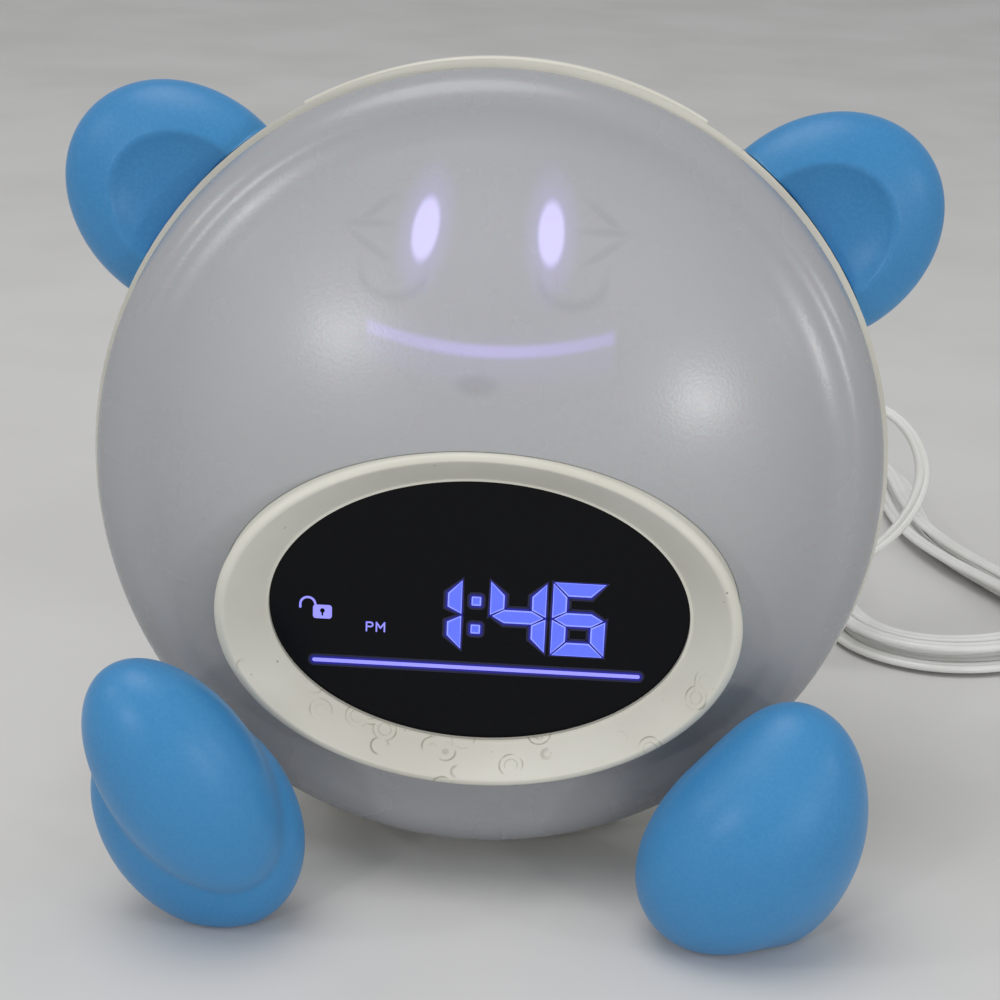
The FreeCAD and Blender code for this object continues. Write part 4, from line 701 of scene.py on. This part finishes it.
def add_bezel(material):
    """The oval frame: a rounded lip, a slope down to a flat ring round the display, and a tube behind.

    Its profile gives each point's depth, and its share of the way from the outer oval to the display's.
    """
    lip = 0.19
    lip_height = 0.0015
    wall = 0.16
    seat = 0.85
    ring = 0.94
    tube_end = 0.028
    seat_end = WINDOW_DEPTH + 0.003
    steps = 224
    profile = [(0.0, tube_end)]
    profile += [(lip * (1 - cosine), lip_height * (1 - sine)) for cosine, sine in quarter(8)]
    profile += [(lip + 0.03, 0.00012), (lip + 0.07, 0.00045)]
    profile += [(ring - 0.01, FUNNEL_DEPTH - 0.0001), (ring, FUNNEL_DEPTH)]
    profile += [(1.0, FUNNEL_DEPTH), (1.0, WINDOW_DEPTH), (seat, WINDOW_DEPTH)]
    profile += [(seat - 0.02, seat_end), (wall, seat_end), (wall, tube_end)]
    vertices = []
    for cosine, sine in around(steps):
        for share, depth in profile:
            half_width = BEZEL_HALF_WIDTH + (DISPLAY_HALF_WIDTH - BEZEL_HALF_WIDTH) * share
            half_height = BEZEL_HALF_HEIGHT + (DISPLAY_HALF_HEIGHT - BEZEL_HALF_HEIGHT) * share
            vertices.append((half_width * cosine, depth, half_height * sine))
    faces = row_faces(steps, len(profile), closed=True)
    bezel = add_mesh("display_frame", vertices, faces, material, DISPLAY)
    smooth_by_angle(bezel, 32)
    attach(bezel, "clock")
    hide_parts("display_bezel")


# Ears

EAR_HALF_WIDTH = 0.0223
EAR_HALF_HEIGHT = 0.0265
EAR_HALF_DEPTH = 0.010
EAR_BACK = 0.009
EAR_CENTRE = CASE_RADIUS + 0.0005
DISH_HALF_WIDTH = 0.0170
DISH_HALF_HEIGHT = 0.0200
DISH_HALF_DEPTH = 0.0090
DISH_FRONT = 0.0040
DISH_CENTRE = CASE_RADIUS - 0.0015


def case_reach(depth):
    """How far the case reaches from the disc's axis at a depth, for what must stay outside it."""
    if depth <= CASE_BAND:
        return CASE_RADIUS
    over = min(depth - CASE_BAND, CASE_ROUND)
    return CASE_RADIUS - CASE_ROUND + math.sqrt(CASE_ROUND**2 - over**2)


def smooth_most(one, two, soft):
    """The larger of two lengths, with a soft change from one to the other."""
    share = min(max(0.5 + (one - two) / (2 * soft), 0.0), 1.0)
    return two * (1 - share) + one * share + soft * share * (1 - share)


def add_ear(side, material):
    """A thick rounded cup: a full outer roll round a smooth dish that opens towards the case."""
    name = "ear_left" if side == LEFT else "ear_right"
    angle = math.radians(EAR_ANGLE)
    axis = Vector((side * math.cos(angle), 0, math.sin(angle)))
    across = Vector((math.sin(angle), 0, -side * math.cos(angle)))
    blend = 0.0007
    case_gap = 0.0002
    fall = 0.01
    rings = 128
    steps = 160
    vertices = []
    for ring in range(rings + 1):
        tilt = math.pi * ring / rings
        for cosine, sine in around(steps):
            over = EAR_HALF_WIDTH * math.sin(tilt) * cosine
            along = EAR_HALF_HEIGHT * math.sin(tilt) * sine
            depth = EAR_BACK - EAR_HALF_DEPTH * math.cos(tilt)
            if tilt < math.pi / 2:
                shift = (along + EAR_CENTRE - DISH_CENTRE) / DISH_HALF_HEIGHT
                off = (over / DISH_HALF_WIDTH) ** 2 + shift**2
                sunk = DISH_HALF_DEPTH * math.sqrt(1 - off) if off < 1 else -off * fall
                depth = smooth_most(sunk - DISH_FRONT, depth, blend)
            point = axis * (EAR_CENTRE + along) + across * over
            point.y = depth
            reach = math.hypot(point.x, point.z)
            least = case_reach(point.y) + case_gap
            if reach < least:
                point.x *= least / reach
                point.z *= least / reach
            vertices.append(point)
    ear = add_mesh(f"soft_{name}", vertices, row_faces(rings + 1, steps), material, BODY)
    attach(ear, "clock")
    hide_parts(name)


# Snooze bar


def add_snooze_bar(material):
    """A curved bar in the case's slot, nearer flush than the part's solid, with rounded edges and ends."""
    proud = 0.0007
    edge = 0.0009
    toe = 0.004
    slices = 96
    rounding = 8
    outer = CASE_RADIUS + proud
    widest = math.asin(SNOOZE_HALF_WIDTH / outer)
    low = CASE_RADIUS - SNOOZE_DEPTH / 2

    def section(drop):
        """The bar's cross-section as radius and y pairs, with its top lowered and its ends drawn in."""
        left = edge - drop
        corners = [(low, SNOOZE_FRONT + drop)]
        for cosine, sine in quarter(rounding):
            corners.append((outer - edge + left * sine, SNOOZE_FRONT + edge - left * cosine))
        for step in range(rounding * 2 + 1):
            over = (SNOOZE_BACK - edge - CASE_BAND) * step / (2 * rounding)
            round_radius = CASE_ROUND + proud - drop
            reach = CASE_RADIUS - CASE_ROUND + math.sqrt(round_radius**2 - over**2)
            corners.append((reach, CASE_BAND + over))
        last = corners[-1][0]
        for cosine, sine in quarter(rounding):
            corners.append((last - edge + edge * cosine, SNOOZE_BACK - edge + left * sine))
        corners.append((low - toe, SNOOZE_BACK - drop))
        return corners

    ends = [(widest - edge / outer * (1 - cosine), edge * (1 - sine)) for cosine, sine in quarter(rounding)]
    inner = ends[-1][0]
    stops = [(-angle, drop) for angle, drop in ends]
    stops += [(-inner + 2 * inner * step / slices, 0.0) for step in range(1, slices)]
    stops += ends[::-1]
    vertices = []
    for angle, drop in stops:
        for radius, depth in section(drop):
            vertices.append((radius * math.sin(angle), depth, radius * math.cos(angle)))
    count = len(section(0.0))
    faces = row_faces(len(stops), count) + end_faces(len(stops), count)
    bar = add_mesh("snooze_bar", vertices, faces, material, BODY)
    smooth_by_angle(bar, 50)
    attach(bar, "snooze_button")
    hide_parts("snooze_button")


# Feet

EYE_RADIUS = 0.005
ARM_RADIUS = 0.0031
EYE_HEIGHT = 0.009
POCKET_ROOM = 0.001
SOLE_SOFT = 0.0012


def foot_lobe(side, inset, front, height, halves, tilt):
    """The way into a lobe's own frame, in which it is a ball with a radius of one."""
    turn = Matrix.Rotation(math.radians(side * tilt), 4, "Y")
    size = Matrix.Diagonal((*halves, 1.0))
    return (Matrix.Translation((side * (SWIVEL_ACROSS - inset), -front, height)) @ turn @ size).inverted()


def foot_lobes(side):
    """Toe and heel, close to those of the part's solid, and on the right an instep, which the solid lacks."""
    if side == LEFT:
        return [
            foot_lobe(side, 0.0023, 0.0485, 0.0347, (0.0156, 0.0130, 0.0266), 31.8),
            foot_lobe(side, 0.0040, 0.0432, 0.0230, (0.0198, 0.0112, 0.0256), 26.9),
        ]
    return [
        foot_lobe(side, 0.0023, 0.0425, 0.0219, (0.0183, 0.0140, 0.0241), 41.5),
        foot_lobe(side, -0.0002, 0.0395, 0.0240, (0.0172, 0.0128, 0.0270), 24.0),
        foot_lobe(side, -0.0051, 0.0370, 0.0246, (0.0153, 0.0120, 0.0265), 1.0),
    ]


def lobe_reach(into, start, way):
    """How far it is from a start inside a lobe to the lobe's skin, along a way of length one."""
    near = into @ start
    step = into.to_3x3() @ way
    along = near.dot(step)
    root = math.sqrt(along**2 - step.length_squared * (near.length_squared - 1))
    return (root - along) / step.length_squared


def add_foot(side, material):
    """One soft skin over a foot's lobes, flat under the foot, with the pocket that the arm turns in."""
    name = "foot_left" if side == LEFT else "foot_right"
    soft = 0.0012 if side == LEFT else 0.0060
    lobes = foot_lobes(side)
    start = sum((lobe.inverted().translation for lobe in lobes), Vector()) / len(lobes)
    work = bmesh.new()
    bmesh.ops.create_icosphere(work, subdivisions=7, radius=1.0)
    for vertex in work.verts:
        way = vertex.co.normalized()
        reach = lobe_reach(lobes[0], start, way)
        for lobe in lobes[1:]:
            reach = smooth_most(lobe_reach(lobe, start, way), reach, soft)
        if way.z < 0:
            reach = -smooth_most(-reach, start.z / way.z, SOLE_SOFT)
        vertex.co = start + way * reach
    data = bpy.data.meshes.new(name)
    work.to_mesh(data)
    work.free()
    foot = bpy.data.objects.new(f"soft_{name}", data)
    bpy.context.scene.collection.objects.link(foot)
    foot.matrix_world = FLOOR
    data.materials.append(material)
    half = EYE_RADIUS + ARM_RADIUS
    tall = EYE_HEIGHT / 2 + POCKET_ROOM
    corners = [
        (side * SWIVEL_ACROSS + x * half, y, SWIVEL_HEIGHT + z * tall)
        for x in (-1, 1)
        for y in (-SWIVEL_FRONT - EYE_RADIUS - POCKET_ROOM, 0.0)
        for z in (-1, 1)
    ]
    sides = [(0, 1, 3, 2), (4, 6, 7, 5), (0, 4, 5, 1), (2, 3, 7, 6), (0, 2, 6, 4), (1, 5, 7, 3)]
    cut_away(foot, add_mesh("pocket_tool", corners, sides, None, FLOOR, smooth=False))
    smooth_by_angle(foot, 40)
    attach(foot, name)
    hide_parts(name)


# Flat shapes, as outlines of x and z corners


def add_plate(name, outlines, depth, material, thickness, place=DISPLAY, body="clock"):
    """Thin flat shapes on a face."""
    vertices = []
    faces = []
    for corners in outlines:
        start = len(vertices)
        vertices += [(x, depth, z) for x, z in corners]
        vertices += [(x, depth - thickness, z) for x, z in corners]
        for face in end_faces(2, len(corners)) + row_faces(2, len(corners)):
            faces.append(tuple(start + index for index in face))
    plate = add_mesh(name, vertices, faces, material, place, smooth=False)
    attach(plate, body)


def segments(left, low, width, height, thick, shown):
    """The shown segments of one digit, with mitred ends and thin gaps."""
    gap = 0.00022
    middle = low + height / 2
    right = left + width
    top = low + height
    half = thick / 2

    def level(end, back):
        """The segment along the digit's top or foot; back is 1 or -1, towards the digit's middle."""
        inner = end + back * thick
        mitre = thick + gap
        return [(left + gap, end), (right - gap, end), (right - mitre, inner), (left + mitre, inner)]

    def upright(edge, inward, end, back):
        """The segment from one of the digit's corners to its middle; inward and back are 1 or -1."""
        inner = edge + inward * thick
        return [
            (edge, end + back * gap),
            (inner, end + back * (thick + gap)),
            (inner, middle - back * (half + gap)),
            (edge, middle - back * gap),
        ]

    shapes = {
        "top": level(top, -1),
        "bottom": level(low, 1),
        "middle": [
            (left + gap * 2, middle),
            (left + thick, middle + half),
            (right - thick, middle + half),
            (right - gap * 2, middle),
            (right - thick, middle - half),
            (left + thick, middle - half),
        ],
        "upper_left": upright(left, 1, top, -1),
        "lower_left": upright(left, 1, low, 1),
        "upper_right": upright(right, -1, top, -1),
        "lower_right": upright(right, -1, low, 1),
    }
    return [shapes[name] for name in shown]


def rounded_bar(x0, x1, z, thick):
    return arc_points((x0, z), thick / 2, 90, 270, 8) + arc_points((x1, z), thick / 2, -90, 90, 8)


def rounded_block(x0, x1, z0, z1, radius):
    corners = []
    for x, z, start in ((x1, z1, 0), (x0, z1, 90), (x0, z0, 180), (x1, z0, 270)):
        middle_x = x - math.copysign(radius, x - (x0 + x1) / 2)
        middle_z = z - math.copysign(radius, z - (z0 + z1) / 2)
        corners += arc_points((middle_x, middle_z), radius, start, start + 90, 4)
    return corners


def ring_part(middle, radius, thick, start, end, steps=14):
    """A bent bar along part of a circle, as small four-cornered pieces."""
    inner = arc_points(middle, radius - thick / 2, start, end, steps)
    outer = arc_points(middle, radius + thick / 2, start, end, steps)
    return [[inner[step], outer[step], outer[step + 1], inner[step + 1]] for step in range(steps)]


def stroke(path, thick):
    """Straight strokes along a path."""
    shapes = []
    for one, two in zip(path, path[1:]):
        start = Vector(one)
        end = Vector(two)
        way = (end - start).normalized() * thick / 2
        side = Vector((-way.y, way.x))
        corners = (start - way - side, end + way - side, end + way + side, start - way + side)
        shapes.append([tuple(corner) for corner in corners])
    return shapes


def grown(corners, by):
    """A convex outline moved outwards by a distance, or inwards where that is less than nothing."""
    sharpest = 0.85
    middle = sum((Vector(corner) for corner in corners), Vector((0, 0))) / len(corners)
    moved = []
    for index, corner in enumerate(corners):
        here = Vector(corner)
        before = (here - Vector(corners[index - 1])).normalized()
        after = (Vector(corners[(index + 1) % len(corners)]) - here).normalized()
        normals = [Vector((way.y, -way.x)) for way in (before, after)]
        normals = [normal if normal.dot(here - middle) > 0 else -normal for normal in normals]
        both = normals[0] + normals[1]
        moved.append(tuple(here + both * (by / max(1 + normals[0].dot(normals[1]), sharpest))))
    return moved


# Display

DIGIT_THICK = 0.0028
DIGITS = (
    (-0.00640, -0.00840, 0.0029, 0.0150, ("upper_right", "lower_right")),
    (0.00220, -0.00830, 0.01110, 0.0150, ("upper_left", "middle", "upper_right", "lower_right")),
    (
        0.01460,
        -0.00850,
        0.01060,
        0.0155,
        ("top", "upper_left", "middle", "lower_left", "lower_right", "bottom"),
    ),
)
DOT_LEFT = -0.00155
DOT_RIGHT = 0.00035
DOT_HALF_HEIGHT = 0.00095
DOTS_UP = (0.00215, -0.00383)
BAR_LEFT = -0.0328
BAR_RIGHT = 0.0324
BAR_UP = -0.01225
BAR_THICK = 0.0008
LOCK_TOP = -0.0004
SHACKLE_ACROSS = -0.03425
SHACKLE_RADIUS = 0.0015
SHACKLE_THICK = 0.00045
KEYHOLE_ACROSS = -0.0313
LETTER_LOW = -0.0054
LETTER_TOP = -0.0036
LETTER_THICK = 0.00030
P_LEFT = -0.0224
P_ROUND = -0.0216
M_LEFT = -0.0204
M_MIDDLE = -0.0196
M_RIGHT = -0.0188


def display_marks():
    """The padlock with its open shackle, and the letters P and M."""
    shackle_left = SHACKLE_ACROSS - SHACKLE_RADIUS
    letter_middle = (LETTER_LOW + LETTER_TOP) / 2
    marks = [rounded_block(-0.0332, -0.0294, -0.0033, LOCK_TOP, 0.0006)]
    marks += ring_part((SHACKLE_ACROSS, LOCK_TOP), SHACKLE_RADIUS, SHACKLE_THICK, 0, 180)
    marks += stroke([(shackle_left, LOCK_TOP), (shackle_left, -0.0010)], SHACKLE_THICK)
    marks += stroke([(P_LEFT, LETTER_LOW), (P_LEFT, LETTER_TOP), (P_ROUND, LETTER_TOP)], LETTER_THICK)
    marks += stroke([(P_ROUND, letter_middle), (P_LEFT, letter_middle)], LETTER_THICK)
    marks += ring_part((P_ROUND, -0.00405), 0.00045, LETTER_THICK, -90, 90, 8)
    peaks = [(M_LEFT, LETTER_TOP), (M_MIDDLE, -0.0047), (M_RIGHT, LETTER_TOP)]
    marks += stroke([(M_LEFT, LETTER_LOW), *peaks], LETTER_THICK)
    marks += stroke([(M_RIGHT, LETTER_TOP), (M_RIGHT, LETTER_LOW)], LETTER_THICK)
    return marks


def add_display(digit, fringe, mark, near, far, dark):
    """The lit marks, and the digits with a lighter fringe; digits and bar have a dark blue glow round them."""
    face = WINDOW_DEPTH - 0.00001
    digits = []
    for left, low, width, height, shown in DIGITS:
        digits += segments(left, low, width, height, DIGIT_THICK, shown)
    for up in DOTS_UP:
        digits.append(rounded_block(DOT_LEFT, DOT_RIGHT, up - DOT_HALF_HEIGHT, up + DOT_HALF_HEIGHT, 0.0002))
    bar = rounded_bar(BAR_LEFT, BAR_RIGHT, BAR_UP, BAR_THICK)
    add_plate("glow_far", [grown(shape, 0.0009) for shape in [*digits, bar]], face, far, 0.00003)
    add_plate("glow_near", [grown(shape, 0.00045) for shape in [*digits, bar]], face, near, 0.00006)
    add_plate("digit_fringe", digits, face, fringe, 0.00009)
    add_plate("digits", [grown(shape, -0.0003) for shape in digits], face, digit, 0.00012)
    add_plate("display_marks", [bar, *display_marks()], face, mark, 0.00009)
    keyhole = ring_part((KEYHOLE_ACROSS, -0.0016), 0.00025, 0.0005, 0, 360, 12)
    keyhole += stroke([(KEYHOLE_ACROSS, -0.0018), (KEYHOLE_ACROSS, -0.0025)], 0.00035)
    add_plate("keyhole", keyhole, face, dark, 0.00011)


# Signs on the rear buttons

SIGN_THICK = 0.00045
SIGN_HALF = 0.0014
SIGN_GAP = 0.0003
SIGN_BAR = 0.0006


def button_signs():
    """Each rear button's sign, as seen from behind: a dial, a bell, a sun, a moon, a plus and a minus."""
    thick = SIGN_THICK
    dial = ring_part((0, 0), 0.0018, thick, 0, 360, 24)
    dial += stroke([(0, 0.0011), (0, 0), (0.0008, 0)], thick * 0.8)
    bell = ring_part((0, 0.0002), 0.0012, thick, 0, 180, 12)
    for across in (-0.0012, 0.0012):
        bell += stroke([(across, 0.0002), (across, -0.0008)], thick)
    bell += stroke([(-0.0018, -0.0011), (0.0018, -0.0011)], thick)
    bell += ring_part((0, -0.0017), 0.0002, 0.0003, 0, 360, 8)
    sun = ring_part((0, 0), 0.0009, thick, 0, 360, 16)
    for ray in range(8):
        way = Vector((math.cos(math.pi / 4 * ray), math.sin(math.pi / 4 * ray)))
        sun += stroke([way * 0.0015, way * 0.0021], thick * 0.7)
    moon = ring_part((0, 0), 0.0015, thick, 70, 290, 18)
    moon += ring_part((0.0009, 0), 0.0013, thick * 0.8, 115, 245, 14)
    minus = stroke([(-SIGN_HALF, 0), (SIGN_HALF, 0)], SIGN_BAR)
    plus = minus + stroke([(0, -SIGN_HALF), (0, -SIGN_GAP)], SIGN_BAR)
    plus += stroke([(0, SIGN_GAP), (0, SIGN_HALF)], SIGN_BAR)
    return (dial, bell, sun), (moon, plus, minus)


def add_button_signs(material):
    names = (("time_button", "alarm_button", "wake_button"), ("nap_button", "plus_button", "minus_button"))
    depth = CASE_DEPTH + BUTTON_PROUD
    for side, column, signs in zip((LEFT, RIGHT), names, button_signs()):
        for row, (button, sign) in enumerate(zip(column, signs)):
            spot = Matrix.Translation((side * BUTTON_COLUMN, depth, BUTTON_TOP - row * BUTTON_PITCH))
            place = BODY @ spot @ Matrix.Rotation(math.pi, 4, "Z")
            add_plate(f"{button}_sign", sign, 0.00002, material, 0.00008, place, button)


# Stage

FLOOR_HALF = 3
FLOOR_DARKER = (0.60, 0.59, 0.575, 1.0)
FLOOR_LIGHTER = (0.655, 0.645, 0.635, 1.0)
WORLD_COLOUR = (0.97, 0.985, 1.0, 1.0)
WORLD_LEVEL = 0.5
WINDOW_DISTANCE = 1.1
LEFT_SPOT = Vector((-0.0279, -0.0112, 0.1161))
RIGHT_SPOT = Vector((0.0408, -0.0110, 0.1067))
WINDOWS = (
    ("left", LEFT_SPOT, (-0.455, -0.827, 0.331), 0.10, 1.25),
    ("right", RIGHT_SPOT, (0.572, -0.800, 0.182), 0.09, 1.15),
    ("upper_left", LEFT_SPOT, (-0.786, -0.344, 0.513), 0.08, 0.8),
    ("right_side", RIGHT_SPOT, (0.832, -0.420, 0.362), 0.08, 0.7),
)


def add_stage():
    shader = Shader("pale_floor", (0.62, 0.61, 0.60, 1.0), 0.85)
    shader.colour(shader.mix(shader.drift(9.0, 4.0, 0.3, 0.7), FLOOR_DARKER, FLOOR_LIGHTER))
    ends = (-FLOOR_HALF, FLOOR_HALF)
    corners = [(ends[0], ends[0], 0), (ends[1], ends[0], 0), (ends[1], ends[1], 0), (ends[0], ends[1], 0)]
    floor = add_mesh("floor", corners, [(0, 1, 2, 3)], shader.material, Matrix.Identity(4))
    world = bpy.data.worlds.new("soft_light")
    world.use_nodes = True
    background = world.node_tree.nodes["Background"]
    background.inputs[0].default_value = WORLD_COLOUR
    background.inputs[1].default_value = WORLD_LEVEL
    bpy.context.scene.world = world


def add_lamp(name, place, target, size, power, glossy=True):
    data = bpy.data.lights.new(name, "AREA")
    data.shape = "DISK"
    data.size = size
    data.energy = power
    lamp = bpy.data.objects.new(name, data)
    bpy.context.scene.collection.objects.link(lamp)
    lamp.visible_glossy = glossy
    turn = (Vector(target) - Vector(place)).to_track_quat("-Z", "Y")
    lamp.matrix_world = Matrix.Translation(place) @ turn.to_matrix().to_4x4()


def add_lamps():
    """A broad light overhead, and small ones whose soft reflections show on the dome and the ear."""
    add_lamp("overhead", (-0.25, -0.15, 1.35), (0.0, 0.0, 0.06), 0.9, 6.5)
    add_lamp("front_low", (0.35, -1.05, 0.10), (0.0, 0.0, 0.08), 0.6, 2.6, glossy=False)
    for name, spot, way, size, power in WINDOWS:
        add_lamp(f"window_{name}", spot + Vector(way) * WINDOW_DISTANCE, spot, size, power)


# The scene

add_camera()
lead_material = lead_plastic().material
add_lead(lead_material)

ivory_material = ivory().material
soft_material = soft_touch().material
MATERIALS = {
    "frosted_plastic": frosted().material,
    "ivory_plastic": ivory_material,
    "blue_soft_touch": soft_material,
    "dark_window": screen_black().material,
    "display_glass": clear_glass().material,
    "white_plastic": moulded("white_plastic", linear(228, 228, 226), linear(220, 220, 217), 0.45).material,
    "grey_plastic": moulded("grey_plastic", linear(150, 152, 156), linear(142, 144, 149), 0.45).material,
    "black_plastic": moulded("black_plastic", linear(34, 34, 37), linear(42, 42, 46), 0.5).material,
    "led_white": glowing("led_white", linear(236, 232, 255), 0.4).material,
    "circuit_board": circuit_board().material,
    "steel": metal("steel", linear(186, 187, 190), 0.32).material,
    "cell_jacket": moulded("cell_jacket", linear(60, 64, 72), linear(70, 74, 82), 0.35).material,
    "pad_rubber": moulded("pad_rubber", linear(46, 46, 48), linear(54, 54, 56), 0.75).material,
    "lead_white": lead_material,
    "adapter_white": moulded("adapter_white", linear(228, 228, 224), linear(220, 220, 215), 0.35).material,
}
for entry in frame["record"]["subparts"]:
    piece = NODES[entry["node"]]
    piece.data.materials.clear()
    piece.data.materials.append(MATERIALS[entry["material_slot"]])

add_dome(MATERIALS["frosted_plastic"])
add_bezel(funnel_ivory().material)
add_ear(LEFT, soft_material)
add_ear(RIGHT, soft_material)
add_foot(LEFT, soft_material)
add_foot(RIGHT, soft_material)
add_snooze_bar(ivory_material)
add_button_signs(MATERIALS["white_plastic"])
add_display(
    glowing("digit_light", linear(82, 98, 226), 0.62).material,
    glowing("fringe_light", linear(128, 140, 248), 0.62).material,
    glowing("mark_light", linear(136, 134, 234), 0.62).material,
    glowing("near_glow", linear(14, 14, 118), 0.6).material,
    glowing("far_glow", linear(8, 9, 44), 0.5).material,
    MATERIALS["dark_window"],
)
add_stage()
add_lamps()

bpy.context.scene.view_settings.view_transform = "Standard"
